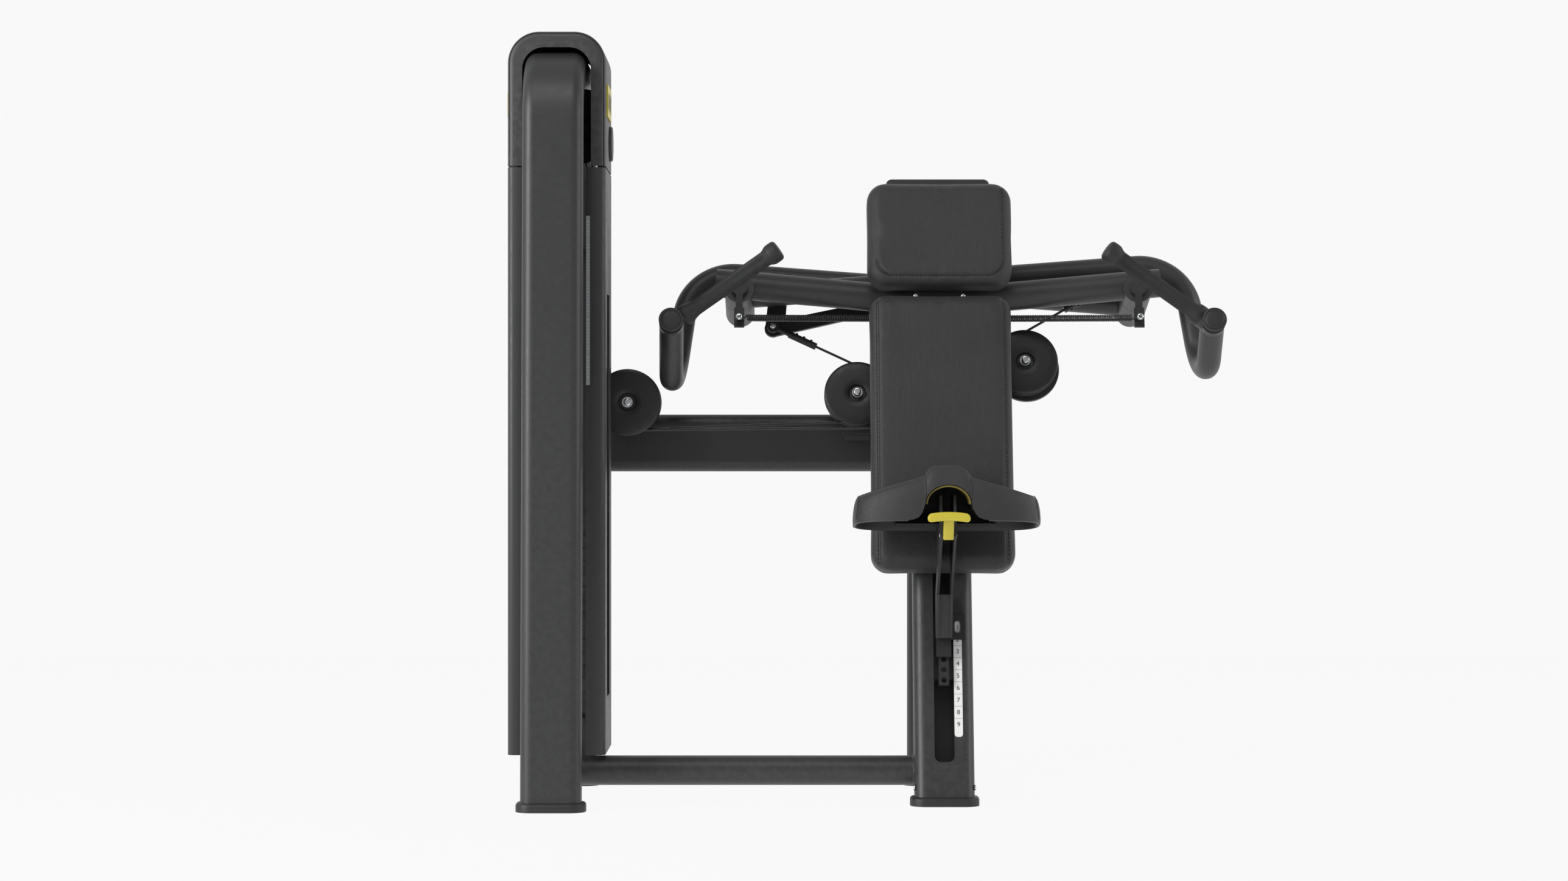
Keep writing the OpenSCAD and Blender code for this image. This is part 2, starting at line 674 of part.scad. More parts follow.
// Ties the rods' upper ends to the tower's rear column
module rod_top_plate() color(paint) difference() {
    at_stack(1072) union() {
        translate([-25, -plate_d / 2, 0]) cube([50, plate_d, 10]);
        translate([-25, 0, 0]) cube([50, beam_front - stack_y, 10]);
    }
    for (y = rods) at_stack(1000) translate([0, y, 0]) cylinder(h = 200, r = rod_r);
    at_stack(1000) cylinder(h = 200, r = stem_r + 8);
}

module stack_cables() color(black) for (s = [-1, 1]) {
    top = top_centre - wrap_r * [sin(top_yaw), cos(top_yaw), 0]
        + s * top_groove_gap / 2 * [-cos(top_yaw), sin(top_yaw), 0];
    low = stack_top + plate_h + 62;
    translate([top.x, top.y, low]) cylinder(h = top.z - low, r = cable_r, $fn = 16);
}

// ---- Tower covers ----

// Outline of the hood, flat-topped with round shoulders
module hood_outline(grow) {
    w = cover_w + 2 * grow;
    h = 1480 - hood_z + grow;
    translate([cover_mid - w / 2, hood_z]) {
        square([w, h - hood_r]);
        translate([hood_r, 0]) square([w - 2 * hood_r, h]);
        for (x = [hood_r, w - hood_r]) translate([x, h - hood_r]) circle(hood_r);
    }
}

// Opening that the tower frame passes through
module mouth_outline() {
    w = mouth_right - mouth_left;
    r = 42;
    translate([mouth_left, hood_z - 10]) {
        square([w, mouth_top - hood_z + 10 - r]);
        translate([r, 0]) square([w - 2 * r, mouth_top - hood_z + 10]);
        for (x = [r, w - r]) translate([x, mouth_top - hood_z + 10 - r]) circle(r);
    }
}

module hood() color(paint) {
    difference() {
        slab(cover_front, cover_front + cover_d) hood_outline(0);
        slab(cover_front + cover_wall, cover_front + cover_d - cover_wall) difference() {
            hood_outline(-cover_wall);
            translate([cover_left, hood_z - 2 * cover_wall]) square([cover_w, 0.1]);
        }
        slab(0, cover_front + cover_d + 10) mouth_outline();
        translate([cover_left + cover_wall, cover_front + cover_wall, hood_z - 1])
            cube([cover_w - 2 * cover_wall, cover_d - 2 * cover_wall, 20]);
    }
    translate([cover_right - 1, 172, 1277]) rotate([0, 90, 0]) cylinder(h = 7, r = 34);
}

// Channel down one side of the tower: s is its side, lip is its front flange
module side_cover(s, lip, rear_lip) {
    edge = s < 0 ? cover_left : cover_right;
    h = hood_z - cover_z - 1;
    translate([edge, 0, cover_z]) mirror([s > 0 ? 1 : 0, 0, 0]) {
        translate([0, cover_front, 0]) cube([cover_wall, cover_d, h]);
        translate([0, cover_front, 0]) cube([lip, cover_wall, h]);
        translate([0, cover_front + cover_d - cover_wall, 0]) cube([rear_lip, cover_wall, h]);
    }
}

module left_cover() color(paint) side_cover(-1, mouth_left - cover_left, 46);

window_z = [stack_z - 10, 980];
window_y = [stack_y - 45, stack_y + 45];
module right_cover() color(paint) difference() {
    side_cover(1, cover_right - mouth_right + 10, 30);
    translate([cover_right - 10, window_y[0], window_z[0]])
        cube([20, window_y[1] - window_y[0], window_z[1] - window_z[0]]);
}

module instruction_plate() color("#8d8f92")
    translate([mouth_right - 9, cover_front - 3, 802]) cube([7, 3, 324]);

module hood_plates() color(yellow) {
    translate([cover_right, 55, 1320]) cube([3, 125, 62]);
    translate([cover_left - 3, 55, 1318]) cube([3, 125, 47]);
}

// ---- Seat ----

tunnel_r = 43;
tunnel_z = seat_z + 54;
cushion_z = seat_z + 27;
shell_wall = 9;

// The way of the hand and the lever under the seat's hump
module tunnel_cut() {
    translate([0, 0, tunnel_z]) bar_y(tunnel_r, seat_front - 10, seat_front + 175);
    translate([-tunnel_r, seat_front - 10, seat_z - 10])
        cube([2 * tunnel_r, 185, tunnel_z - seat_z + 10]);
}

module seat_plan(grow) translate([0, seat_mid_y])
    rounded(seat_w + 2 * grow, seat_d + 2 * grow, 60 + grow);

// Saddle: two thigh wings and a hump between them
module seat_cushion() color(black) difference() {
    intersection() {
        slab(seat_front - 1, seat_front + seat_d + 1) polygon([
            [-seat_w / 2, cushion_z], [-seat_w / 2, cushion_z + 20],
            [-seat_w / 2 + 14, cushion_z + 39], [-60, cushion_z + 72], [-46, cushion_z + 80],
            [-34, cushion_z + 94], [-18, cushion_z + 101], [18, cushion_z + 101],
            [34, cushion_z + 94], [46, cushion_z + 80], [60, cushion_z + 72],
            [seat_w / 2 - 14, cushion_z + 39], [seat_w / 2, cushion_z + 20],
            [seat_w / 2, cushion_z]]);
        linear_extrude(cushion_z + 200) seat_plan(0);
    }
    tunnel_cut();
}

// Tray under the cushion, hollow from below
module seat_shell() color(black) difference() {
    translate([0, 0, seat_z]) linear_extrude(cushion_z - seat_z) seat_plan(0);
    translate([0, 0, seat_z - 1]) linear_extrude(cushion_z - seat_z - 7) seat_plan(-shell_wall);
    tunnel_cut();
}

// Two fins under the seat, joined to the slider that runs in the post
module seat_bracket() color(black) {
    fin_in = 10.5;
    fin_t = 5;
    shell_back = seat_front + seat_d - shell_wall - 3;
    pad_face = function(z) (-tube_d / 2 - board_t - pad_t) / cos(lean) + z * tan(lean) - 5;
    difference() {
        union() {
            for (x = [-fin_in - fin_t, fin_in]) translate([x, 0, 0]) rotate([90, 0, 90])
                linear_extrude(fin_t) polygon([[-128, seat_z + 72], [-150, seat_z - 4],
                    [-12, 402], [10, 318], [44, 318], [66, 395], [6, 436],
                    [pad_face(seat_z - 40), seat_z - 40], [shell_back, seat_z - 1],
                    [shell_back, seat_z + 18], [0, seat_z + 18], [-10, seat_z + 72]]);
            rotate([90, 0, 90]) translate([0, 0, -fin_in]) linear_extrude(2 * fin_in)
                polygon([[-4, 402], [12, 318], [44, 318], [60, 390]]);
            translate([-95, -100, cushion_z - 14]) cube([190, 120, 6]);
            leaning() translate([-14, post_face - 22, carriage_z - 22]) cube([28, 48, 70]);
            leaning() translate([-10, post_face - 12, carriage_z - 76]) cube([20, 8, 64]);
            leaning() translate([-26, -20, carriage_z - 60]) cube([52, 40, 130]);
        }
        translate([-fin_in, seat_front - 5, cushion_z - 25]) cube([2 * fin_in, 150, 40]);
        for (i = [0 : 2]) leaning() translate([0, 0, carriage_z - 66 + 20 * i])
            bar_y(5, post_face - 20, post_face + 6);
        translate([-30, 0, seat_z - 2]) translate([0, -135, 0]) rotate([0, 90, 0])
            cylinder(h = 60, r = 4 + run_gap);
    }
}

module height_pointer() color(black) leaning() slab(post_face - 6, post_face - 2.5) difference() {
    translate([14, carriage_z + 15]) square([28, 50]);
    translate([27.5, carriage_z + 40]) rounded(11, 24, 5.4);
}

// T-shaped lever on a cross pin between the fins
module seat_lever() color(yellow) {
    translate([-9.7, -135, seat_z - 2]) rotate([90, 0, 90]) linear_extrude(19.4)
        polygon([[-9, -9], [9, -9], [9, 9], [-20, 42], [-38, 42], [-38, 30]]);
    translate([-39.5, -183, seat_z + 25]) cube([79, 17, 18]);
    translate([-16.5, -135, seat_z - 2]) rotate([0, 90, 0]) cylinder(h = 33, r = 4);
}

module scale_strip() color("white") leaning() slab(post_face - 1, post_face)
    translate([27.5, 239]) rounded(16, 226, 6);

// ---- Back ----

module pad_outline(w, z0, z1, r) translate([0, (z0 + z1) / 2]) rounded(w, z1 - z0, r);

back_z = 434;
head_z = back_z + back_len + 5;

module pad_boards() color(black) leaning() {
    slab(pad_back, post_face) pad_outline(back_w - 90, back_z + 36, back_z + back_len - 27, 15);
    slab(pad_back, post_face) pad_outline(head_w - 92, head_z + 23, head_z + head_len + 17, 12);
}

module back_pad() color(black) leaning() slab(pad_back - pad_t, pad_back)
    pad_outline(back_w, back_z, back_z + back_len, 30);

module head_pad() color(black) leaning() slab(pad_back - pad_t, pad_back)
    pad_outline(head_w, head_z, head_z + head_len, 36);

foot_plates();
tower_frame();
base_rails();
cross_tube();
cross_beam();
beam_link();
rear_post();
seat_post();
left_yoke();
right_yoke();
left_arm();
right_arm();
left_shaft();
right_shaft();
left_grip();
right_grip();
left_end_cap();
right_end_cap();
left_cable_plate();
right_cable_plate();
left_cable_end();
right_cable_end();
left_arm_cable();
right_arm_cable();
left_spring();
right_spring();
left_pulley();
right_pulley();
centre_pulley();
tower_pulley();
top_pulley();
pulley_axles();
pulley_brackets();
tower_bracket();
top_bracket();
left_cable_run();
right_cable_run();
stack_cables();
top_plate();
lifted_plates();
resting_plates();
selector_stem();
selector_pin();
guide_rods();
stack_base();
rod_top_plate();
hood();
left_cover();
right_cover();
instruction_plate();
hood_plates();
seat_cushion();
seat_shell();
seat_bracket();
height_pointer();
seat_lever();
scale_strip();
pad_boards();
back_pad();
head_pad();
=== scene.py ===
import bmesh
import bpy
import math
from mathutils import Matrix, Vector, kdtree
from mathutils.bvhtree import BVHTree


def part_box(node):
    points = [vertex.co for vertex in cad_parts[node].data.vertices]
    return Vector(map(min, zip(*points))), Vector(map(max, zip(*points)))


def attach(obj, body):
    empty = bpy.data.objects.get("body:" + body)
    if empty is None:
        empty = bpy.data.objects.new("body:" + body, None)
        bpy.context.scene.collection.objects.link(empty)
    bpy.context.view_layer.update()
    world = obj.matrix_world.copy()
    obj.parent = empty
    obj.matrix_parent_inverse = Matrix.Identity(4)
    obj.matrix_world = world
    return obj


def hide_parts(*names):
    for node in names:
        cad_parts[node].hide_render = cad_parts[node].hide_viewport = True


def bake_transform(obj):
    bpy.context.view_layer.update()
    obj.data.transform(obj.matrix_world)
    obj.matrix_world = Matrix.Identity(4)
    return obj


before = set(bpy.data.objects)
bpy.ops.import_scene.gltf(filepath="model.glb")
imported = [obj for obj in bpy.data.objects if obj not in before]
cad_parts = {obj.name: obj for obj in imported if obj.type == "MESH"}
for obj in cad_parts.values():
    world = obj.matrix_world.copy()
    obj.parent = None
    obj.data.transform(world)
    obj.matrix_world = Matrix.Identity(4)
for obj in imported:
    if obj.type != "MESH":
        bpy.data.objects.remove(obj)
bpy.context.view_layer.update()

bpy.ops.object.select_all(action="DESELECT")

# ---- The view ----
# A level camera in front of the machine, at the height of the seat's hump and a little to
# the tower's side of the seat, with a long lens.
bpy.ops.object.camera_add(location=(-0.3065, -6.335, 0.696), rotation=(math.radians(90), 0, 0))
camera = bpy.context.object
camera.name = "camera"
camera.data.sensor_width = 36
camera.data.lens = 76.2
camera.data.clip_end = 60
bpy.context.scene.camera = camera

# ---- The studio ----
# A lit white floor against a bright backdrop, with a dimmer room behind the camera. A tall
# soft box on the left gives each tube its broad highlight, and a weaker one fills the right.
bpy.ops.mesh.primitive_plane_add(size=9, location=(0, 0, 0))
floor = bpy.context.object
floor.name = "studio_floor"
floor_paint = bpy.data.materials.new("floor_paint")
floor_paint.use_nodes = True
floor_shader = floor_paint.node_tree.nodes["Principled BSDF"]
floor_shader.inputs["Base Color"].default_value = (0.02, 0.02, 0.02, 1)
floor_shader.inputs["Roughness"].default_value = 1.0
floor_shader.inputs["Specular IOR Level"].default_value = 0.0
floor_shader.inputs["Emission Color"].default_value = (1, 1, 1, 1)
floor_shader.inputs["Emission Strength"].default_value = 0.93
floor.data.materials.append(floor_paint)

room = bpy.data.worlds.new("room")
room.use_nodes = True
room_nodes = room.node_tree.nodes
way_seen = room_nodes.new("ShaderNodeTexCoord")
way_axes = room_nodes.new("ShaderNodeSeparateXYZ")
way_tone = room_nodes.new("ShaderNodeMapRange")
for socket, value in (("From Min", -0.1), ("From Max", 0.85), ("To Min", 0.3), ("To Max", 0.945)):
    way_tone.inputs[socket].default_value = value
room.node_tree.links.new(way_seen.outputs["Generated"], way_axes.inputs["Vector"])
room.node_tree.links.new(way_axes.outputs["Y"], way_tone.inputs["Value"])
room.node_tree.links.new(way_tone.outputs["Result"], room_nodes["Background"].inputs["Color"])
bpy.context.scene.world = room
bpy.context.scene.view_settings.view_transform = "Standard"


def soft_box(name, place, aim, width, height, watts):
    bpy.ops.object.light_add(type="AREA", location=place)
    lamp = bpy.context.object
    lamp.name = name
    lamp.data.shape = "RECTANGLE"
    lamp.data.size = width
    lamp.data.size_y = height
    lamp.data.energy = watts
    toward = Vector(aim) - Vector(place)
    lamp.rotation_euler = toward.to_track_quat("-Z", "Y").to_euler()


soft_box("left_soft_box", (-4.4, -2.7, 2.1), (-0.4, 0, 0.8), 2.0, 3.4, 235)
soft_box("right_soft_box", (4.0, -0.6, 2.0), (-0.2, 0, 0.8), 1.4, 3.0, 60)
soft_box("front_soft_box", (-0.9, -3.0, 4.8), (-0.3, 0, 0.7), 2.6, 1.6, 45)

# ---- Powder coat ----
# All steel tubes are powder-coated: a satin, slightly orange-peeled skin, with a few fine
# specks and lighter rub marks on the edges.


def new_group(name, inputs, outputs):
    group = bpy.data.node_groups.new(name, "ShaderNodeTree")
    for label, kind, value in inputs:
        socket = group.interface.new_socket(label, in_out="INPUT", socket_type=kind)
        if value is not None:
            socket.default_value = value
    for label, kind in outputs:
        group.interface.new_socket(label, in_out="OUTPUT", socket_type=kind)
    return group, group.nodes.new("NodeGroupInput"), group.nodes.new("NodeGroupOutput")


def noise(tree, scale, detail, rough, source):
    node = tree.nodes.new("ShaderNodeTexNoise")
    node.inputs["Scale"].default_value = scale
    node.inputs["Detail"].default_value = detail
    node.inputs["Roughness"].default_value = rough
    tree.links.new(source, node.inputs["Vector"])
    return node


def remap(tree, source, low, high, to_low, to_high):
    node = tree.nodes.new("ShaderNodeMapRange")
    node.inputs["From Min"].default_value = low
    node.inputs["From Max"].default_value = high
    node.inputs["To Min"].default_value = to_low
    node.inputs["To Max"].default_value = to_high
    tree.links.new(source, node.inputs["Value"])
    return node.outputs["Result"]


coat_group, coat_in, coat_out = new_group(
    "coated_skin",
    [("Color", "NodeSocketColor", (0.05, 0.05, 0.05, 1)),
     ("Rub Color", "NodeSocketColor", (0.12, 0.12, 0.12, 1)),
     ("Grain Scale", "NodeSocketFloat", 900.0),
     ("Grain Depth", "NodeSocketFloat", 0.0001),
     ("Rough Low", "NodeSocketFloat", 0.38),
     ("Rough High", "NodeSocketFloat", 0.52)],
    [("Color", "NodeSocketColor"), ("Roughness", "NodeSocketFloat"),
     ("Normal", "NodeSocketVector")])
place = coat_group.nodes.new("ShaderNodeTexCoord").outputs["Object"]
cloudy = noise(coat_group, 2.0, 2.0, 0.5, place)
fine = noise(coat_group, 90.0, 2.0, 0.5, place)
grain = coat_group.nodes.new("ShaderNodeTexNoise")
grain.inputs["Detail"].default_value = 2.0
coat_group.links.new(place, grain.inputs["Vector"])
coat_group.links.new(coat_in.outputs["Grain Scale"], grain.inputs["Scale"])
edge = coat_group.nodes.new("ShaderNodeNewGeometry")
edge_mask = remap(coat_group, edge.outputs["Pointiness"], 0.57, 0.68, 0.0, 0.35)
broken = coat_group.nodes.new("ShaderNodeMath")
broken.operation = "MULTIPLY"
coat_group.links.new(edge_mask, broken.inputs[0])
coat_group.links.new(remap(coat_group, fine.outputs["Fac"], 0.4, 0.6, 0.0, 1.0), broken.inputs[1])
cloud_tone = coat_group.nodes.new("ShaderNodeMix")
cloud_tone.data_type = "RGBA"
cloud_tone.blend_type = "MULTIPLY"
cloud_tone.inputs["Factor"].default_value = 1.0
coat_group.links.new(coat_in.outputs["Color"], cloud_tone.inputs["A"])
coat_group.links.new(remap(coat_group, cloudy.outputs["Fac"], 0.3, 0.7, 0.96, 1.04),
                     cloud_tone.inputs["B"])
rub_tone = coat_group.nodes.new("ShaderNodeMix")
rub_tone.data_type = "RGBA"
coat_group.links.new(broken.outputs["Value"], rub_tone.inputs["Factor"])
coat_group.links.new(cloud_tone.outputs["Result"], rub_tone.inputs["A"])
coat_group.links.new(coat_in.outputs["Rub Color"], rub_tone.inputs["B"])
coat_group.links.new(rub_tone.outputs["Result"], coat_out.inputs["Color"])
rough_mix = coat_group.nodes.new("ShaderNodeMapRange")
coat_group.links.new(fine.outputs["Fac"], rough_mix.inputs["Value"])
rough_mix.inputs["From Min"].default_value = 0.3
rough_mix.inputs["From Max"].default_value = 0.7
coat_group.links.new(coat_in.outputs["Rough Low"], rough_mix.inputs["To Min"])
coat_group.links.new(coat_in.outputs["Rough High"], rough_mix.inputs["To Max"])
coat_group.links.new(rough_mix.outputs["Result"], coat_out.inputs["Roughness"])
peel = coat_group.nodes.new("ShaderNodeBump")
peel.inputs["Strength"].default_value = 0.35
coat_group.links.new(coat_in.outputs["Grain Depth"], peel.inputs["Distance"])
coat_group.links.new(grain.outputs["Fac"], peel.inputs["Height"])
coat_group.links.new(peel.outputs["Normal"], coat_out.inputs["Normal"])


def skinned(name, group, values):
    """A material whose colour, roughness and normal come from one node group."""
    material = bpy.data.materials.new(name)
    material.use_nodes = True
    tree = material.node_tree
    shader = tree.nodes["Principled BSDF"]
    skin = tree.nodes.new("ShaderNodeGroup")
    skin.node_tree = group
    for label, value in values.items():
        skin.inputs[label].default_value = value
    for output, socket in (("Color", "Base Color"), ("Roughness", "Roughness"),
                           ("Normal", "Normal")):
        tree.links.new(skin.outputs[output], shader.inputs[socket])
    return material


def coated(name, color, rub, grain_scale=900.0, depth=0.0001, rough=(0.41, 0.48), metal=0.0):
    material = skinned(name, coat_group, {
        "Color": (*color, 1), "Rub Color": (*rub, 1), "Grain Scale": grain_scale,
        "Grain Depth": depth, "Rough Low": rough[0], "Rough High": rough[1]})
    material.node_tree.nodes["Principled BSDF"].inputs["Metallic"].default_value = metal
    return material


def dress(material, *names):
    for name in names:
        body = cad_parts[name]
        for slot in body.material_slots:
            slot.material = material
        if not body.material_slots:
            body.data.materials.append(material)


frame_paint = coated("frame_paint", (0.026, 0.0265, 0.027), (0.06, 0.06, 0.062))
dress(frame_paint, "tower_frame", "base_rails", "cross_tube", "cross_beam", "beam_link",
      "rear_post", "seat_post", "left_yoke", "right_yoke", "left_arm", "right_arm",
      "pulley_brackets", "tower_bracket", "top_bracket", "stack_base", "rod_top_plate")

# ---- Plain steel and moulded parts ----
# Levers, seat fins and rod ends are black-coated steel. The cable plates get the same near-black
# coat as painted shade, for the shadow they sit in behind the arms. Bolts, guide rods and
# the stem are bright plate. Feet and caps are moulded black plastic.
black_steel = coated("black_steel", (0.014, 0.014, 0.015), (0.06, 0.06, 0.06))
# On the cable plates this near-black colour is painted shade, for plates lying in shadow behind the
# arms.
dress(black_steel, "left_shaft", "right_shaft", "left_cable_plate", "right_cable_plate",
      "seat_bracket", "left_cable_end", "right_cable_end")
foot_plastic = coated("moulded_black", (0.016, 0.016, 0.017), (0.035, 0.035, 0.036), 500, 0.00015,
                      (0.45, 0.6))
dress(foot_plastic, "foot_plates", "pad_boards", "height_pointer", "left_end_cap",
      "right_end_cap", "seat_shell")
bright_plate = coated("bright_plate", (0.72, 0.73, 0.74), (0.85, 0.85, 0.86), 1400, 0.00003,
                      (0.12, 0.24), 1.0)
dress(bright_plate, "pulley_axles", "selector_stem", "guide_rods")
stack_paint = coated("stack_iron", (0.02, 0.02, 0.021), (0.09, 0.09, 0.09), 700, 0.0002,
                     (0.5, 0.65))
dress(stack_paint, "top_plate", "lifted_plates", "resting_plates")
pulley_nylon = coated("pulley_nylon", (0.013, 0.013, 0.014), (0.03, 0.03, 0.03), 600, 0.00008,
                      (0.36, 0.48))
dress(pulley_nylon, "left_pulley", "right_pulley", "centre_pulley", "tower_pulley", "top_pulley")
cable_skin = coated("cable_skin", (0.012, 0.012, 0.012), (0.03, 0.03, 0.03), 1200, 0.00005,
                    (0.25, 0.35))
dress(cable_skin, "left_arm_cable", "right_arm_cable", "left_cable_run", "right_cable_run",
      "stack_cables")
spring_wire = coated("spring_wire", (0.02, 0.02, 0.02), (0.08, 0.08, 0.08), 1200, 0.00005,
                     (0.3, 0.42))
dress(spring_wire, "left_spring", "right_spring")
grip_rubber = coated("grip_rubber", (0.014, 0.014, 0.0145), (0.024, 0.024, 0.024), 1500, 0.0001,
                     (0.55, 0.7))
dress(grip_rubber, "left_grip", "right_grip")
yellow_skin = coated("yellow_plastic", (0.56, 0.47, 0.04), (0.62, 0.54, 0.09), 700, 0.00008,
                     (0.35, 0.45))
dress(yellow_skin, "seat_lever", "selector_pin", "hood_plates")
cover_paint = coated("cover_paint", (0.034, 0.0345, 0.035), (0.07, 0.07, 0.072), 1300, 0.00012,
                     (0.44, 0.56))
dress(cover_paint, "hood", "left_cover", "right_cover")
label_print = coated("label_print", (0.28, 0.29, 0.3), (0.3, 0.3, 0.3), 700, 0.00002, (0.4, 0.5))
dress(label_print, "instruction_plate")
white_print = coated("white_print", (0.8, 0.8, 0.79), (0.7, 0.7, 0.7), 700, 0.00002, (0.35, 0.45))
dress(white_print, "scale_strip")

# ---- Back pad and head pad ----
# Foam on a board under grained black vinyl. The front panel is sewn to the side panels, so
# each pad has a crowned front, round sides and a doubled seam. Screws hold it from behind.
lean = math.radians(15.5)
lean_turn = Matrix.Rotation(-lean, 4, "X")
hide_group, hide_in, hide_out = new_group(
    "grained_hide",
    [("Color", "NodeSocketColor", (0.03, 0.03, 0.03, 1)),
     ("Pore Scale", "NodeSocketFloat", 620.0),
     ("Pore Depth", "NodeSocketFloat", 0.0004),
     ("Crease Depth", "NodeSocketFloat", 0.0005)],
    [("Color", "NodeSocketColor"), ("Roughness", "NodeSocketFloat"),
     ("Normal", "NodeSocketVector")])
place = hide_group.nodes.new("ShaderNodeTexCoord").outputs["Object"]
pores = hide_group.nodes.new("ShaderNodeTexVoronoi")
pores.feature = "DISTANCE_TO_EDGE"
hide_group.links.new(place, pores.inputs["Vector"])
hide_group.links.new(hide_in.outputs["Pore Scale"], pores.inputs["Scale"])
soft_tone = noise(hide_group, 7.0, 4.0, 0.55, place)
stretch = hide_group.nodes.new("ShaderNodeMapping")
stretch.inputs["Scale"].default_value = (38.0, 6.0, 7.0)
hide_group.links.new(place, stretch.inputs["Vector"])
crease = noise(hide_group, 1.0, 6.0, 0.55, stretch.outputs["Vector"])
crease.inputs["Distortion"].default_value = 1.6
crease_line = remap(hide_group, crease.outputs["Fac"], 0.46, 0.52, 0.0, 1.0)
pore_bump = hide_group.nodes.new("ShaderNodeBump")
pore_bump.inputs["Strength"].default_value = 0.5
hide_group.links.new(hide_in.outputs["Pore Depth"], pore_bump.inputs["Distance"])
hide_group.links.new(remap(hide_group, pores.outputs["Distance"], 0.0, 0.25, 0.0, 1.0),
                     pore_bump.inputs["Height"])
crease_bump = hide_group.nodes.new("ShaderNodeBump")
crease_bump.inputs["Strength"].default_value = 0.35
hide_group.links.new(hide_in.outputs["Crease Depth"], crease_bump.inputs["Distance"])
hide_group.links.new(crease_line, crease_bump.inputs["Height"])
hide_group.links.new(pore_bump.outputs["Normal"], crease_bump.inputs["Normal"])
hide_group.links.new(crease_bump.outputs["Normal"], hide_out.inputs["Normal"])
hide_tone = hide_group.nodes.new("ShaderNodeMix")
hide_tone.data_type = "RGBA"
hide_tone.blend_type = "MULTIPLY"
hide_tone.inputs["Factor"].default_value = 1.0
hide_group.links.new(hide_in.outputs["Color"], hide_tone.inputs["A"])
hide_group.links.new(remap(hide_group, soft_tone.outputs["Fac"], 0.3, 0.7, 0.82, 1.16),
                     hide_tone.inputs["B"])
hide_group.links.new(hide_tone.outputs["Result"], hide_out.inputs["Color"])
hide_group.links.new(remap(hide_group, soft_tone.outputs["Fac"], 0.3, 0.7, 0.42, 0.56),
                     hide_out.inputs["Roughness"])


def upholstered(name, color, pore_scale, pore_depth, crease_depth):
    material = skinned(name, hide_group, {
        "Color": (*color, 1), "Pore Scale": pore_scale, "Pore Depth": pore_depth,
        "Crease Depth": crease_depth})
    material.node_tree.nodes["Principled BSDF"].inputs["Sheen Weight"].default_value = 0.05
    return material


pad_hide = upholstered("pad_hide", (0.017, 0.017, 0.0175), 620.0, 0.0004, 0.0003)


def pick(*pieces):
    """Selects only these pieces and makes the first one active."""
    bpy.ops.object.select_all(action="DESELECT")
    for piece in pieces:
        piece.select_set(True)
    bpy.context.view_layer.objects.active = pieces[0]


def settle(piece, turn=None):
    pick(piece)
    bpy.ops.object.transform_apply(location=True, rotation=True, scale=True)
    if turn is not None:
        piece.data.transform(turn)
        piece.data.update()


def face_out():
    """Turns the active piece's faces outward."""
    bpy.ops.object.mode_set(mode="EDIT")
    bpy.ops.mesh.select_all(action="SELECT")
    bpy.ops.mesh.normals_make_consistent(inside=False)
    bpy.ops.object.mode_set(mode="OBJECT")


def apply_modifiers(piece):
    bpy.context.view_layer.objects.active = piece
    for modifier in list(piece.modifiers):
        bpy.ops.object.modifier_apply(modifier=modifier.name)


def puff(piece, voxel, cap):
    """Fills a closed form with air for 20 frames; no point moves further than the cap."""
    pick(piece)
    remesh = piece.modifiers.new("remesh", "REMESH")
    remesh.mode = "VOXEL"
    remesh.voxel_size = voxel
    apply_modifiers(piece)
    before = [v.co.copy() for v in piece.data.vertices]
    cloth = piece.modifiers.new("air", "CLOTH")
    cloth.settings.use_pressure = True
    cloth.settings.uniform_pressure_force = 4
    cloth.settings.effector_weights.gravity = 0
    cloth.settings.tension_stiffness = 15
    cloth.settings.compression_stiffness = 15
    cloth.settings.quality = 5
    for step in range(1, 21):
        bpy.context.scene.frame_set(step)
    swollen = piece.evaluated_get(bpy.context.evaluated_depsgraph_get())
    after = [v.co.copy() for v in swollen.data.vertices]
    piece.modifiers.clear()
    for vertex, old, new in zip(piece.data.vertices, before, after):
        move = new - old
        if move.length > cap:
            move = move.normalized() * cap
        vertex.co = old + move
    bpy.context.scene.frame_set(1)
    relax = piece.modifiers.new("relax", "SMOOTH")
    relax.factor = 0.5
    relax.iterations = 3
    smooth = piece.modifiers.new("smooth", "SUBSURF")
    smooth.levels = 1
    smooth.render_levels = 1
    apply_modifiers(piece)
    bpy.ops.object.shade_smooth()


def pad_block(name, width, bottom, top, front, back, corner, edge):
    """A slab in the leaning frame with round corners and a soft front edge."""
    bpy.ops.mesh.primitive_cube_add(size=1, location=(0, (front + back) / 2, (bottom + top) / 2))
    block = bpy.context.object
    block.name = name
    block.scale = (width, back - front, top - bottom)
    bpy.ops.object.transform_apply(location=True, rotation=True, scale=True)
    mesh = bmesh.new()
    mesh.from_mesh(block.data)
    upright = [e for e in mesh.edges if abs(e.verts[0].co.y - e.verts[1].co.y) > 0.01]
    bmesh.ops.bevel(mesh, geom=upright, offset=corner, segments=8, profile=0.5, affect="EDGES")
    for y, offset in ((front, edge), (back, 0.008)):
        rim = [e for e in mesh.edges if all(abs(v.co.y - y) < 1e-5 for v in e.verts)
               and len(e.link_faces) == 2
               and abs(e.link_faces[0].normal.y - e.link_faces[1].normal.y) > 0.5]
        bmesh.ops.bevel(mesh, geom=rim, offset=offset, segments=6, profile=0.5, affect="EDGES")
    mesh.to_mesh(block.data)
    mesh.free()
    return block


def thread(name, piece, rays, radius, material, body, lift=0.0):
    """A fine raised line on a surface: each ray's hit is one point of the line."""
    tree = BVHTree.FromObject(piece, bpy.context.evaluated_depsgraph_get())
    hits = []
    for start, way in rays:
        hit = tree.ray_cast(Vector(start), Vector(way).normalized())
        if hit[0] is not None:
            hits.append(hit[0] + hit[1] * lift)
    return tube(name, [hits], radius, material, body)


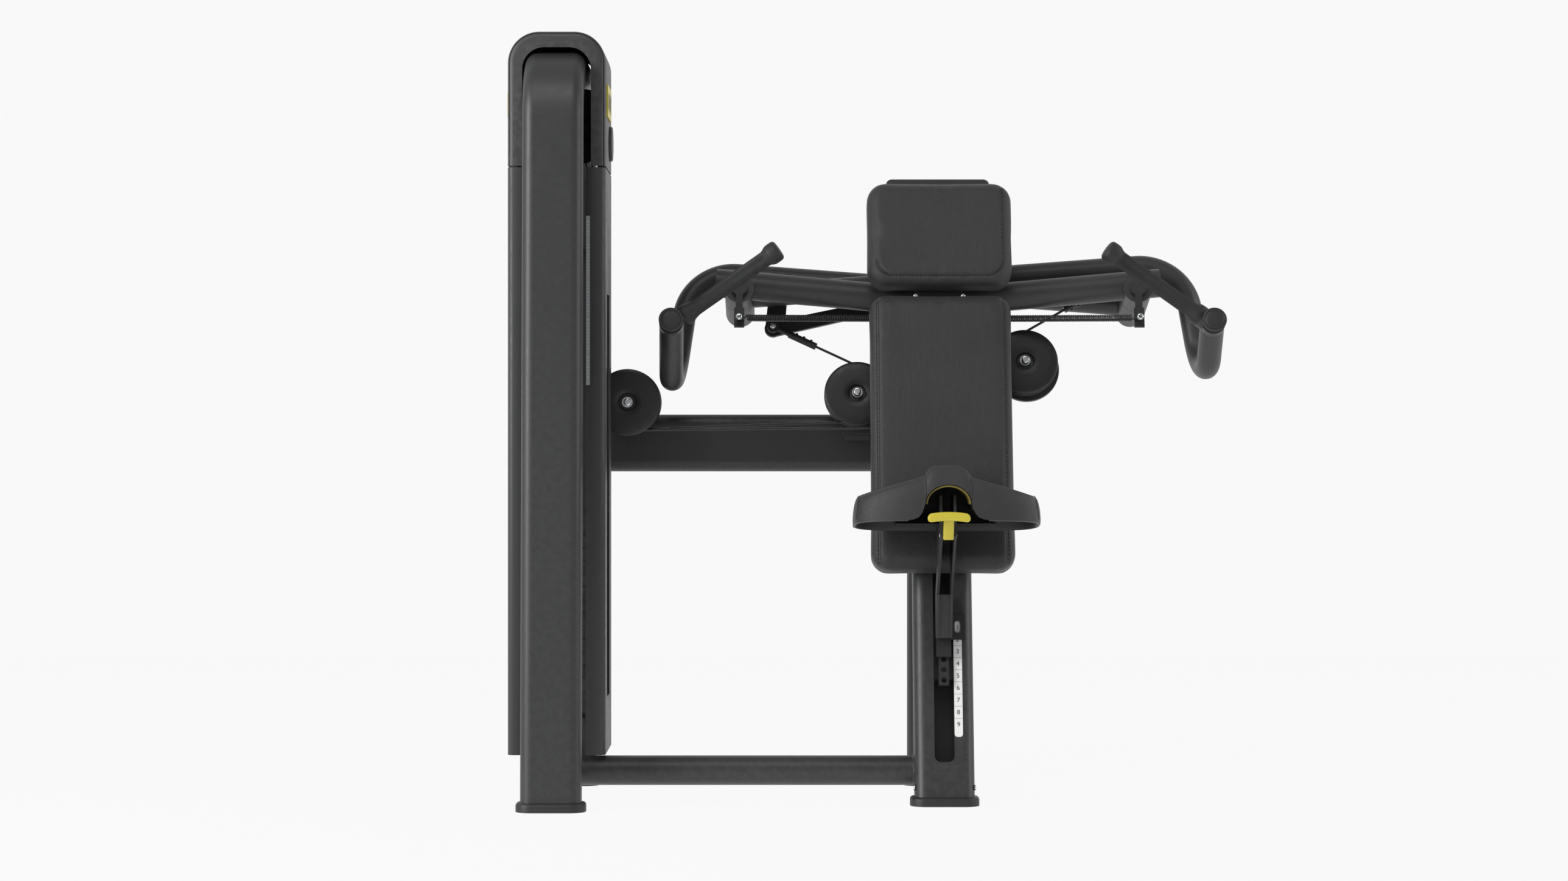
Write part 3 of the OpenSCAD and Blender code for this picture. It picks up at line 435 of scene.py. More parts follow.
def tube(name, lines, radius, material, body, sides=1, cyclic=False):
    curve = bpy.data.curves.new(name, "CURVE")
    curve.dimensions = "3D"
    curve.bevel_depth = radius
    curve.bevel_resolution = sides
    curve.use_fill_caps = True
    for line in lines:
        spline = curve.splines.new("POLY")
        spline.points.add(len(line) - 1)
        spline.use_cyclic_u = cyclic
        for point, co in zip(spline.points, line):
            point.co = (*co, 1)
    piece = bpy.data.objects.new(name, curve)
    bpy.context.collection.objects.link(piece)
    pick(piece)
    bpy.ops.object.convert(target="MESH")
    piece = bpy.context.object
    piece.data.materials.clear()
    piece.data.materials.append(material)
    bpy.ops.object.shade_smooth()
    if body:
        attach(piece, body)
    return piece


def rounded_path(width, bottom, top, corner, y, count=10):
    points = []
    for cx, cz, start in ((width / 2 - corner, top - corner, 0),
                          (-width / 2 + corner, top - corner, 90),
                          (-width / 2 + corner, bottom + corner, 180),
                          (width / 2 - corner, bottom + corner, 270)):
        for k in range(count + 1):
            angle = math.radians(start + 90 * k / count)
            points.append((cx + corner * math.cos(angle), y, cz + corner * math.sin(angle)))
    return points


def dense(points, step=0.008):
    out = []
    for a, b in zip(points, points[1:]):
        a, b = Vector(a), Vector(b)
        n = max(1, int((b - a).length / step))
        out += [a.lerp(b, k / n) for k in range(n)]
    return out + [Vector(points[-1])]


seam_thread = coated("seam_thread", (0.012, 0.012, 0.012), (0.02, 0.02, 0.02), 2000, 0.0001,
                     (0.5, 0.6))

pad_front = -0.1
pad_back = -0.0425
back_block = pad_block("back_pad_cover", 0.284, 0.4375, 0.998, pad_front, pad_back, 0.034, 0.022)
puff(back_block, 0.005, 0.004)
head_block = pad_block("head_pad_cover", 0.292, 1.0105, 1.231, pad_front, pad_back, 0.038, 0.022)
puff(head_block, 0.005, 0.004)
toward_back = (0, 1, 0)
seam_lines = {
    "back_pad_left_seam": (back_block, [(-0.1235, -0.2, 0.452), (-0.1235, -0.2, 0.984)]),
    "back_pad_right_seam": (back_block, [(0.1235, -0.2, 0.452), (0.1235, -0.2, 0.984)]),
    "head_pad_seam": (head_block, rounded_path(0.246, 1.032, 1.29, 0.03, -0.2)[22:] +
                      rounded_path(0.246, 1.032, 1.29, 0.03, -0.2)[:1]),
}
seams = []
for name, (pad, line) in seam_lines.items():
    # the thread pulls the cover in along the seam
    near_seam = kdtree.KDTree(len(dense(line)))
    for k, point in enumerate(dense(line)):
        near_seam.insert((point.x, 0, point.z), k)
    near_seam.balance()
    for vertex in pad.data.vertices:
        if vertex.co.y < -0.07:
            gap = near_seam.find((vertex.co.x, 0, vertex.co.z))[2]
            vertex.co.y += 0.0024 * math.exp(-(gap / 0.0042) ** 2)
    for k, shift in enumerate((-0.0022, 0.0022)):
        sign = [1 if p[0] > 0 else -1 for p in line]
        path = [(p[0] + shift * s, p[1], p[2]) for p, s in zip(line, sign)]
        rays = [(p, toward_back) for p in dense(path)]
        seams.append(thread(f"{name}_{k}", pad, rays, 0.0009, seam_thread, None, 0.0002))
for pad, node, in ((back_block, "back_pad"), (head_block, "head_pad")):
    pad.data.transform(lean_turn)
    pad.data.update()
    pad.data.materials.append(pad_hide)
    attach(pad, "frame")
    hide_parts(node)
for seam in seams:
    seam.data.transform(lean_turn)
    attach(seam, "frame")

# ---- Saddle seat ----
# One moulded foam saddle with a welded vinyl skin: two thigh wings and a raised middle,
# hollow underneath, with an arched way for the hand and the height lever.
seat_half_w = 0.177
seat_half_d = 0.099
seat_mid = -0.066
seat_profile = [(0, 0.6485), (0.020, 0.648), (0.030, 0.6445), (0.037, 0.638), (0.0415, 0.6295),
                (0.046, 0.6265), (0.06, 0.623), (0.1, 0.611), (0.13, 0.602), (0.164, 0.591),
                (0.185, 0.585)]


def seat_height(x):
    x = abs(x)
    for (x0, z0), (x1, z1) in zip(seat_profile, seat_profile[1:]):
        if x <= x1:
            t = (x - x0) / (x1 - x0)
            return z0 + (z1 - z0) * t
    return seat_profile[-1][1]


def seat_rim(y):
    return 0.548 + (0.523 - 0.548) * (y - seat_mid + seat_half_d) / (2 * seat_half_d)


rings = 44
bpy.ops.mesh.primitive_uv_sphere_add(segments=128, ring_count=rings, radius=1)
saddle = bpy.context.object
saddle.name = "saddle"
wall = 0.0075
top_share = 0.52
for vertex in saddle.data.vertices:
    co = vertex.co
    ring = math.acos(max(-1, min(1, co.z))) / math.pi
    angle = math.atan2(co.y, co.x)
    c, s = math.cos(angle), math.sin(angle)
    power = 3.4
    reach = (abs(c / seat_half_w) ** power + abs(s / seat_half_d) ** power) ** (-1 / power)
    if ring <= top_share:
        share = ring / top_share
        roll = 0.013 + 0.017 * s * s if ring else 0
        inner_reach = reach - roll
        if share < 0.55:
            radius = inner_reach * share / 0.55
            x, y = radius * c, seat_mid + radius * s
            z = seat_height(x)
        else:
            turn = (share - 0.55) / 0.45
            out = math.sin(turn * math.pi / 2) ** 0.9
            drop = 1 - math.cos(turn * math.pi / 2) ** 0.85
            radius = inner_reach + roll * out
            x, y = radius * c, seat_mid + radius * s
            z = seat_height(x) + (seat_rim(y) - seat_height(x)) * drop
    else:
        share = (ring - top_share) / (1 - top_share)
        if share < 0.08:
            radius = reach - wall * share / 0.08
            x, y = radius * c, seat_mid + radius * s
            z = seat_rim(y) - 0.0015 * math.sin(share / 0.08 * math.pi)
        elif share < 0.5:
            rise = (share - 0.08) / 0.42
            radius = reach - wall - 0.012 * rise
            x, y = radius * c, seat_mid + radius * s
            z = seat_rim(y) + (0.566 - seat_rim(y)) * rise
        else:
            radius = (reach - wall - 0.012) * (1 - share) / 0.5
            x, y = radius * c, seat_mid + radius * s
            z = 0.566
    vertex.co = (x, y, z)
saddle.data.update()
tunnel_points = [(-0.075, 0.50), (-0.075, 0.548), (-0.066, 0.549), (-0.056, 0.553), (-0.049, 0.562),
                 (-0.044, 0.577)]
for k in range(1, 12):
    angle = math.pi - math.pi * k / 12
    tunnel_points.append((0.044 * math.cos(angle), 0.577 + 0.037 * math.sin(angle)))
tunnel_points += [(-x, z) for x, z in reversed(tunnel_points[:6])]
bpy.ops.mesh.primitive_circle_add(vertices=len(tunnel_points), radius=1, fill_type="NGON")
tunnel = bpy.context.object
for vertex, (x, z) in zip(tunnel.data.vertices, tunnel_points):
    vertex.co = (x, -0.2, z)
bpy.ops.object.mode_set(mode="EDIT")
bpy.ops.mesh.select_all(action="SELECT")
bpy.ops.mesh.extrude_region_move(TRANSFORM_OT_translate={"value": (0, 0.215, 0)})
bpy.ops.mesh.select_all(action="SELECT")
bpy.ops.mesh.normals_make_consistent(inside=False)
bpy.ops.object.mode_set(mode="OBJECT")
carve = saddle.modifiers.new("carve", "BOOLEAN")
carve.operation = "DIFFERENCE"
carve.solver = "EXACT"
carve.object = tunnel
apply_modifiers(saddle)
bpy.data.objects.remove(tunnel)
pick(saddle)
bpy.ops.object.shade_smooth_by_angle(angle=math.radians(40))
saddle_hide = upholstered("saddle_hide", (0.02, 0.02, 0.0205), 700.0, 0.0003, 0.0001)
saddle.data.materials.append(saddle_hide)
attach(saddle, "seat")
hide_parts("seat_cushion", "seat_shell")

for side in (-1, 1):
    hump_rays = [((side * 0.0425, -0.4, z), (0, 1, 0)) for z in
                 [0.580 + 0.0035 * k for k in range(13)]]
    hump_rays += [((side * 0.0425, y, 0.8), (0, 0, -1)) for y in
                  [-0.13 + 0.008 * k for k in range(20)]]
    thread(f"saddle_hump_seam_{'lr'[side > 0]}", saddle, hump_rays, 0.0011, seam_thread, "seat")
    wing_rays = [((side * (0.1665 + 0.005 * (1 - k / 9)), -0.4, 0.548 + 0.0045 * k), (0, 1, 0))
                 for k in range(10)]
    wing_rays += [((side * 0.1655, y, 0.8), (0, 0, -1)) for y in
                  [-0.125 + 0.008 * k for k in range(18)]]
    thread(f"saddle_wing_seam_{'lr'[side > 0]}", saddle, wing_rays, 0.0009, seam_thread, "seat")

# ---- Tunnel lip ----
# A dull yellow plastic edging lines the front of the arch.
dull_yellow = coated("dull_yellow", (0.16, 0.125, 0.02), (0.2, 0.17, 0.04), 700, 0.0001,
                     (0.45, 0.55))
arch = []
for k in range(0, 25):
    angle = math.pi - math.pi * k / 24
    arch.append((0.0405 * math.cos(angle), 0.5775 + 0.0335 * math.sin(angle)))
bpy.ops.mesh.primitive_grid_add(x_subdivisions=24, y_subdivisions=6, size=1)
lip = bpy.context.object
lip.name = "tunnel_lip"
for vertex in lip.data.vertices:
    k = round((vertex.co.x + 0.5) * 24)
    depth = vertex.co.y + 0.5
    x, z = arch[k]
    vertex.co = (x * (1 - 0.02 * depth), -0.158 + 0.13 * depth, z - 0.001 * depth)
thick = lip.modifiers.new("thick", "SOLIDIFY")
thick.thickness = 0.003
thick.offset = 0
apply_modifiers(lip)
pick(lip)
face_out()
bpy.ops.object.shade_smooth_by_angle(angle=math.radians(35))
lip.data.materials.append(dull_yellow)
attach(lip, "seat")

# ---- Counterbalance springs ----
# Close-wound extension springs of black wire. Each runs from the bolt of a pivot's lever,
# under the yoke, to a lug behind the back pad, with an open hook at both ends.
press_rise = 1.0264


def press_spot(x, y, z):
    return lean_turn @ Vector((x, y, press_rise + z))


def coil_points(start, end, radius, pitch, steps=10):
    axis = (end - start).normalized()
    side = axis.orthogonal().normalized()
    other = axis.cross(side)
    turns = (end - start).length / pitch
    points = []
    for k in range(int(turns * steps) + 1):
        angle = 2 * math.pi * k / steps
        points.append(start + axis * (pitch * k / steps)
                      + (side * math.cos(angle) + other * math.sin(angle)) * radius)
    return points


for side, body, label in ((-1, "right_press_arm", "left"), (1, "left_press_arm", "right")):
    bolt = press_spot(side * 0.395, -0.049, -0.067)
    hook = press_spot(side * 0.070, 0.034, -0.042)
    axis = (hook - bolt).normalized()
    wound = coil_points(bolt + axis * 0.016, hook - axis * 0.018, 0.0056, 0.0036)
    front_hook = [bolt + axis * 0.006, bolt + axis * 0.011, wound[0]]
    back_hook = [wound[-1], hook - axis * 0.012, hook - axis * 0.004]
    spring = tube(f"{label}_spring_coil", [front_hook[:2] + wound + back_hook[1:]], 0.00165,
                  spring_wire, None)
    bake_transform(spring)
    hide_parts(f"{label}_spring")

# ---- Arm cables ----
# Nylon-coated wire rope from each rod end to its pulley: one straight run from where it
# leaves the pulley towards the rod end.


def strand(name, node, start, end):
    count = 26
    points = [start.lerp(end, k / count) for k in range(count + 1)]
    piece = tube(name, [points], 0.0025, cable_skin, None, sides=2)
    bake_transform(piece)
    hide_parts(node)
    return piece


def tangent_point(eye, centre, radius, side):
    dx, dz = centre[0] - eye[0], centre[1] - eye[1]
    away = math.hypot(dx, dz)
    angle = math.atan2(dz, dx) + side * math.asin(radius / away)
    reach = math.sqrt(away * away - radius * radius)
    return angle, (eye[0] + reach * math.cos(angle), eye[1] + reach * math.sin(angle))


for label, eye, centre, plane, side in (
        ("left", (-0.3286, -0.0424), (-0.160, -0.185), 0.088, 1),
        ("right", (0.3385, 0.032), (0.174, -0.128), 0.056, -1)):
    angle, tangent = tangent_point(eye, centre, 0.055, side)
    near = press_spot(eye[0] + 0.096 * math.cos(angle), plane, eye[1] + 0.096 * math.sin(angle))
    far = press_spot(tangent[0], plane, tangent[1])
    strand(f"{label}_arm_rope", f"{label}_arm_cable", far, near)
low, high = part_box("stack_cables")
drops = []
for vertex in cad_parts["stack_cables"].data.vertices:
    if vertex.co.z > high.z - 0.001:
        drops.append(vertex.co)
middle = sum(drops, Vector()) / len(drops)
drop_groups = ([v for v in drops if v.x < middle.x], [v for v in drops if v.x >= middle.x])
ropes = []
for group in drop_groups:
    spot = sum(group, Vector()) / len(group)
    ropes.append([(spot.x, spot.y, high.z - (high.z - low.z) * n / 24) for n in range(25)])
rope_pair = tube("stack_ropes", ropes, 0.0025, cable_skin, None, sides=2)
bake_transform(rope_pair)
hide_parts("stack_cables")

# ---- Grips ----
# Slip-on rubber sleeves with fine ribs along them, a flared guard at the collar and a
# rounded outer end.
for side, label in ((-1, "left"), (1, "right")):
    way = Vector((side * -0.2067, -0.070, 0.1293)).normalized()
    root = Vector((side * 0.525, -0.173 + 0.0285, -0.111)) + way * 0.0303
    profile = [(0.0, 0.0208), (0.006, 0.0208), (0.010, 0.0203), (0.018, 0.0175), (0.026, 0.0158),
               (0.032, 0.0150), (0.192, 0.0150), (0.197, 0.0160), (0.201, 0.0188), (0.206, 0.0206),
               (0.212, 0.0210), (0.219, 0.0208), (0.223, 0.0198), (0.2255, 0.017), (0.2262, 0.010)]
    ribs = 36
    bpy.ops.mesh.primitive_cylinder_add(vertices=ribs * 4, radius=1, depth=1, end_fill_type="NGON")
    sleeve = bpy.context.object
    sleeve.name = f"{label}_grip_sleeve"
    mesh = bmesh.new()
    mesh.from_mesh(sleeve.data)
    uprights = [e for e in mesh.edges if abs(e.verts[0].co.z - e.verts[1].co.z) > 0.5]
    bmesh.ops.subdivide_edges(mesh, edges=uprights, cuts=len(profile) - 2, use_grid_fill=False)
    levels = sorted({round(v.co.z, 4) for v in mesh.verts})
    for vertex in mesh.verts:
        level = levels.index(round(vertex.co.z, 4))
        along, radius = profile[level]
        angle = math.atan2(vertex.co.y, vertex.co.x)
        notch = math.cos(angle * ribs) * 0.00045 if 4 < level < 8 else 0
        vertex.co = ((radius + notch) * math.cos(angle), (radius + notch) * math.sin(angle), along)
    mesh.to_mesh(sleeve.data)
    mesh.free()
    turn = Matrix.Translation(root) @ way.to_track_quat("Z", "Y").to_matrix().to_4x4()
    sleeve.data.transform(lean_turn @ Matrix.Translation((0, 0, press_rise)) @ turn)
    pick(sleeve)
    bpy.ops.object.shade_smooth_by_angle(angle=math.radians(50))
    sleeve.data.materials.append(grip_rubber)
    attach(sleeve, f"{label}_press_arm")
    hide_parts(f"{label}_grip")

# ---- Height scale ----
# A white printed strip beside the slot, with a number and a line for each seat position.


def printed(name, parts, material):
    """Joins thin marks into one printed piece."""
    pick(*parts)
    bpy.ops.object.join()
    piece = bpy.context.object
    piece.name = name
    piece.data.materials.clear()
    piece.data.materials.append(material)
    return piece


ink = coated("ink", (0.03, 0.03, 0.03), (0.03, 0.03, 0.03), 900, 0.00001, (0.5, 0.6))
marks = []
for number in range(1, 10):
    height = 0.3395 - 0.0237 * (number - 1)
    bpy.ops.object.text_add(location=(0, 0, 0))
    digit = bpy.context.object
    digit.data.body = str(number)
    digit.data.size = 0.0125
    digit.data.align_x = "CENTER"
    digit.data.align_y = "CENTER"
    digit.data.extrude = 0.00015
    bpy.ops.object.convert(target="MESH")
    digit = bpy.context.object
    digit.data.transform(lean_turn @ Matrix.Translation((0.0275, -0.03115, height))
                         @ Matrix.Rotation(math.radians(90), 4, "X"))
    marks.append(digit)
    if number < 9:
        bpy.ops.mesh.primitive_cube_add(size=1, location=(0.0275, -0.0311, height - 0.01185))
        line = bpy.context.object
        line.scale = (0.0158, 0.0003, 0.0004)
        settle(line, lean_turn)
        marks.append(line)
scale_print = printed("scale_numbers", marks, ink)
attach(scale_print, "frame")

# ---- Height lever ----
# A bright yellow moulded T with a bowed bar, on a plated cross pin between the seat's fins.
bpy.ops.mesh.primitive_cube_add(size=1, location=(0, -0.1745, 0.5550))
bar = bpy.context.object
bar.name = "height_lever"
bar.scale = (0.079, 0.018, 0.0165)
bpy.ops.object.transform_apply(location=True, rotation=True, scale=True)
mesh = bmesh.new()
mesh.from_mesh(bar.data)
ends = [e for e in mesh.edges if abs(e.verts[0].co.y - e.verts[1].co.y) > 0.01]
bmesh.ops.bevel(mesh, geom=ends, offset=0.0075, segments=6, profile=0.5, affect="EDGES")
long_edges = [e for e in mesh.edges if abs(e.verts[0].co.x - e.verts[1].co.x) > 0.03]
bmesh.ops.subdivide_edges(mesh, edges=long_edges, cuts=9, use_grid_fill=True)
bmesh.ops.recalc_face_normals(mesh, faces=mesh.faces)
for vertex in mesh.verts:
    vertex.co.z -= 2.4 * vertex.co.x ** 2
mesh.to_mesh(bar.data)
mesh.free()
bpy.ops.mesh.primitive_cube_add(size=1, location=(0, -0.1555, 0.5330))
stem = bpy.context.object
stem.scale = (0.0194, 0.013, 0.046)
stem.rotation_euler = (math.radians(28), 0, 0)
bpy.ops.object.transform_apply(location=True, rotation=True, scale=True)
pick(bar, stem)
bpy.ops.object.join()
soften = bar.modifiers.new("soften", "BEVEL")
soften.width = 0.0022
soften.segments = 3
soften.limit_method = "ANGLE"
soften.angle_limit = math.radians(50)
apply_modifiers(bar)
bpy.ops.object.shade_smooth_by_angle(angle=math.radians(40))
bar.data.materials.append(yellow_skin)
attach(bar, "seat_lever")
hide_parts("seat_lever")
bpy.ops.mesh.primitive_cylinder_add(vertices=24, radius=0.004, depth=0.033,
                                    location=(0, -0.135, 0.519),
                                    rotation=(0, math.radians(90), 0))
lever_pin = bpy.context.object
lever_pin.name = "lever_pin"
soften = lever_pin.modifiers.new("soften", "BEVEL")
soften.width = 0.0008
soften.segments = 2
soften.limit_method = "ANGLE"
apply_modifiers(lever_pin)
settle(lever_pin)
bpy.ops.object.shade_smooth_by_angle(angle=math.radians(40))
lever_pin.data.materials.append(bright_plate)
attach(lever_pin, "seat_lever")

# ---- Weld bead ----
# The low cross tube is welded to the seat post, with a rippled bead all round the joint.


def weld(name, points, body):
    piece = tube(name, [points], 0.0032, frame_paint, None, sides=2, cyclic=True)
    for vertex in piece.data.vertices:
        wave = math.sin(vertex.co.x * 900 + vertex.co.y * 1300 + vertex.co.z * 1700)
        vertex.co += vertex.normal * 0.0006 * wave
    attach(piece, body)


ring = []
for k in range(72):
    angle = 2 * math.pi * k / 72
    y, z = 0.045 + 0.0292 * math.cos(angle), 0.062 + 0.0292 * math.sin(angle)
    leaning_y = y * math.cos(lean) - z * math.sin(lean)
    slack = max(0.0, abs(leaning_y) - 0.008)
    ring.append((-0.0575 + (0.022 - math.sqrt(max(0, 0.022 ** 2 - slack ** 2))), y, z))
weld("cross_tube_weld", ring, "frame")

# ---- Tower hood ----
# A moulded shell over the head of the tower: a rounded front plate pierced by the tower's
# arch, a wall bent round its edge and a plain back, all with soft outer edges.


def half_round(left, right, bottom, top, corner, steps=12):
    """An outline, anticlockwise from the bottom right, with two round top corners."""
    points = [(right, bottom)]
    for cx, first in ((right - corner, 0), (left + corner, 90)):
        for k in range(steps + 1):
            angle = math.radians(first + 90 * k / steps)
            points.append((cx + corner * math.cos(angle), top - corner + corner * math.sin(angle)))
    points.append((left, bottom))
    return points


cover_left, cover_right = -0.83575, -0.64825
cover_front, cover_back = 0.015, 0.235
hood_outer = half_round(cover_left, cover_right, 1.222, 1.480, 0.06)
hood_inner = half_round(-0.83275, -0.65125, 1.2, 1.477, 0.057)
mouth = half_round(-0.8075, -0.676, 1.2, 1.449, 0.042)


def prism(name, outline, front, back):
    bpy.ops.mesh.primitive_circle_add(vertices=len(outline), radius=1, fill_type="NGON")
    piece = bpy.context.object
    piece.name = name
    for vertex, (x, z) in zip(piece.data.vertices, outline):
        vertex.co = (x, front, z)
    bpy.ops.object.mode_set(mode="EDIT")
    bpy.ops.mesh.select_all(action="SELECT")
    bpy.ops.mesh.extrude_region_move(TRANSFORM_OT_translate={"value": (0, back - front, 0)})
    bpy.ops.mesh.select_all(action="SELECT")
    bpy.ops.mesh.normals_make_consistent(inside=False)
    bpy.ops.object.mode_set(mode="OBJECT")
    return piece


def cut(piece, tool):
    carve = piece.modifiers.new("carve", "BOOLEAN")
    carve.operation = "DIFFERENCE"
    carve.solver = "EXACT"
    carve.object = tool
    apply_modifiers(piece)
    bpy.data.objects.remove(tool)


def soften(piece, width, segments=3, angle=35):
    """Rounds the sharp edges and shades the rest smooth."""
    pick(piece)
    edge = piece.modifiers.new("soft_edges", "BEVEL")
    edge.width = width
    edge.segments = segments
    edge.limit_method = "ANGLE"
    edge.angle_limit = math.radians(angle)
    edge.use_clamp_overlap = True
    apply_modifiers(piece)
    bpy.ops.object.shade_smooth_by_angle(angle=math.radians(angle))


hood = prism("hood_shell", hood_outer, cover_front, cover_back)
rim = bmesh.new()
rim.from_mesh(hood.data)
front_edges = [e for e in rim.edges if all(abs(v.co.y - cover_front) < 1e-6 for v in e.verts)
               and max(v.co.z for v in e.verts) > 1.223]
bmesh.ops.bevel(rim, geom=front_edges, offset=0.012, segments=5, profile=0.5, affect="EDGES")
back_edges = [e for e in rim.edges if all(abs(v.co.y - cover_back) < 1e-6 for v in e.verts)
              and max(v.co.z for v in e.verts) > 1.223]
bmesh.ops.bevel(rim, geom=back_edges, offset=0.006, segments=3, profile=0.5, affect="EDGES")
rim.to_mesh(hood.data)
rim.free()
cut(hood, prism("hood_hollow", hood_inner, 0.018, 0.232))
cut(hood, prism("hood_mouth", mouth, -0.01, 0.25))
soften(hood, 0.0012, 2, 50)
hood.data.materials.append(cover_paint)
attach(hood, "frame")
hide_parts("hood")

bpy.ops.mesh.primitive_cylinder_add(vertices=72, radius=0.034, depth=0.009,
                                    location=(-0.6467, 0.172, 1.277),
                                    rotation=(0, math.radians(90), 0))
boss = bpy.context.object
boss.name = "hood_boss"
settle(boss)
soften(boss, 0.0028, 4)
boss.data.materials.append(cover_paint)
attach(boss, "frame")

# ---- Tower side covers ----
# Folded channels either side of the tower, hung below the hood. Their front corners are
# rolled, and the right one is open where the pin is reached.
for side, lip, rear in ((-1, 0.02825, 0.046), (1, 0.03775, 0.030)):
    edge = cover_left if side < 0 else cover_right
    into = -side
    roll = 0.012
    outer = [(edge + into * lip, cover_front)]
    for k in range(9):
        angle = math.pi / 2 * k / 8
        outer.append((edge + into * (roll - roll * math.sin(angle)),
                      cover_front + roll - roll * math.cos(angle)))
    outer += [(edge, 0.233), (edge + into * 0.002, cover_back), (edge + into * rear, cover_back)]
    wall = 0.003
    inner = [(edge + into * rear, cover_back - wall), (edge + into * wall, cover_back - wall)]
    for k in range(9):
        angle = math.pi / 2 * (1 - k / 8)
        inner.append((edge + into * (roll - (roll - wall) * math.sin(angle)),
                      cover_front + roll - (roll - wall) * math.cos(angle)))
    inner.append((edge + into * lip, cover_front + wall))
    outline = outer + inner
    bpy.ops.mesh.primitive_circle_add(vertices=len(outline), radius=1, fill_type="NGON")
    channel = bpy.context.object
    channel.name = "left_channel" if side < 0 else "right_channel"
    for vertex, (x, y) in zip(channel.data.vertices, outline):
        vertex.co = (x, y, 0.0935)
    bpy.ops.object.mode_set(mode="EDIT")
    bpy.ops.mesh.select_all(action="SELECT")
    bpy.ops.mesh.extrude_region_move(TRANSFORM_OT_translate={"value": (0, 0, 1.2195 - 0.0935)})
    bpy.ops.mesh.select_all(action="SELECT")
    bpy.ops.mesh.normals_make_consistent(inside=False)
    bpy.ops.object.mode_set(mode="OBJECT")
    if side > 0:
        bpy.ops.mesh.primitive_cube_add(size=1, location=(edge, 0.1203, (0.2 + 0.98) / 2))
        opening = bpy.context.object
        opening.scale = (0.04, 0.09, 0.98 - 0.2)
        cut(channel, opening)
    soften(channel, 0.0008, 2)
    channel.data.materials.append(cover_paint)
    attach(channel, "frame")
    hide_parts("left_cover" if side < 0 else "right_cover")

# ---- Hood marks and instruction plate ----
# Thin yellow plates on the hood's sides carry dark slanted bars. The instruction plate has
# pale printed panels with lines of rules.
bars = []
for side, low, high in ((1, 1.320, 1.382), (-1, 1.318, 1.365)):
    face = cover_right + 0.0031 if side > 0 else cover_left - 0.0031
    for k in range(6):
        bpy.ops.mesh.primitive_cube_add(
            size=1, location=(face, 0.071 + 0.0185 * k, (low + high) / 2))
        bar_mark = bpy.context.object
        wide, share = (0.0085, 0.62) if k % 2 else (0.0050, 0.44)
        bar_mark.scale = (0.0004, wide, (high - low) * share)
        bar_mark.rotation_euler = (math.radians(-18), 0, 0)
        settle(bar_mark)
        bars.append(bar_mark)
hood_marks = printed("hood_marks", bars, ink)
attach(hood_marks, "frame")

pale_ink = coated("pale_ink", (0.5, 0.5, 0.5), (0.5, 0.5, 0.5), 900, 0.00001, (0.45, 0.55))
panels = []
for top, tall in ((1.118, 0.034), (1.074, 0.062), (1.002, 0.062), (0.930, 0.062), (0.858, 0.044)):
    for line in range(int(tall / 0.0062)):
        bpy.ops.mesh.primitive_cube_add(
            size=1, location=(-0.6815, 0.0119, top - 0.003 - 0.0062 * line))
        rule = bpy.context.object
        rule.scale = (0.0052 - 0.0011 * (line % 3), 0.0003, 0.0012)
        settle(rule)
        panels.append(rule)
plate_print = printed("instruction_rules", panels, pale_ink)
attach(plate_print, "frame")

# ---- Handle end caps ----
# Domed moulded caps pressed into the open ends of the arm tubes, with a ring groove.
for side, label in ((-1, "left"), (1, "right")):
    bpy.ops.mesh.primitive_cylinder_add(vertices=64, radius=0.0235, depth=0.004)
    cap = bpy.context.object
    cap.name = f"{label}_handle_cap"
    mesh = bmesh.new()
    mesh.from_mesh(cap.data)
    top_face = max(mesh.faces, key=lambda f: f.calc_center_median().z)
    steps = ((0.0022, 0.0009), (0.0014, 0.0), (0.0010, -0.0009), (0.0012, 0.0009), (0.0060, 0.0008),
             (0.0060, 0.0003))
    for inset, rise in steps:
        bmesh.ops.inset_region(mesh, faces=[top_face], thickness=inset, depth=0)
        for vertex in top_face.verts:
            vertex.co.z += rise
    mesh.to_mesh(cap.data)
    mesh.free()
    place = Matrix.Translation((side * 0.525, -0.1783, press_rise - 0.111))
    cap.data.transform(lean_turn @ place @ Matrix.Rotation(math.radians(90), 4, "X"))
    bpy.ops.object.shade_smooth_by_angle(angle=math.radians(32))
    cap.data.materials.append(foot_plastic)
    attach(cap, f"{label}_press_arm")
    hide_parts(f"{label}_end_cap")

# ---- Foot plates ----
# Moulded feet with a rounded upper edge, one under each end of the floor tubes.
foot_list = []
for x, y in ((0, 0), (0, 0.383), (-0.744, 0.383), (-0.744, -0.1045)):
    bpy.ops.mesh.primitive_cube_add(size=1, location=(x, y, 0.0085))
    foot = bpy.context.object
    foot.scale = (0.132, 0.077, 0.017)
    bpy.ops.object.transform_apply(location=True, rotation=True, scale=True)
    mesh = bmesh.new()
    mesh.from_mesh(foot.data)
    corners = [e for e in mesh.edges if abs(e.verts[0].co.z - e.verts[1].co.z) > 0.01]
    bmesh.ops.bevel(mesh, geom=corners, offset=0.0305, segments=10, profile=0.5, affect="EDGES")
    rim = [e for e in mesh.edges if all(v.co.z > 0.0165 for v in e.verts)]
    bmesh.ops.bevel(mesh, geom=rim, offset=0.0055, segments=4, profile=0.5, affect="EDGES")
    mesh.to_mesh(foot.data)
    mesh.free()
    foot_list.append(foot)
pick(*foot_list)
bpy.ops.object.join()
feet = bpy.context.object
feet.name = "moulded_feet"
bpy.ops.object.shade_smooth_by_angle(angle=math.radians(40))
feet.data.materials.append(foot_plastic)
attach(feet, "frame")
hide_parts("foot_plates")

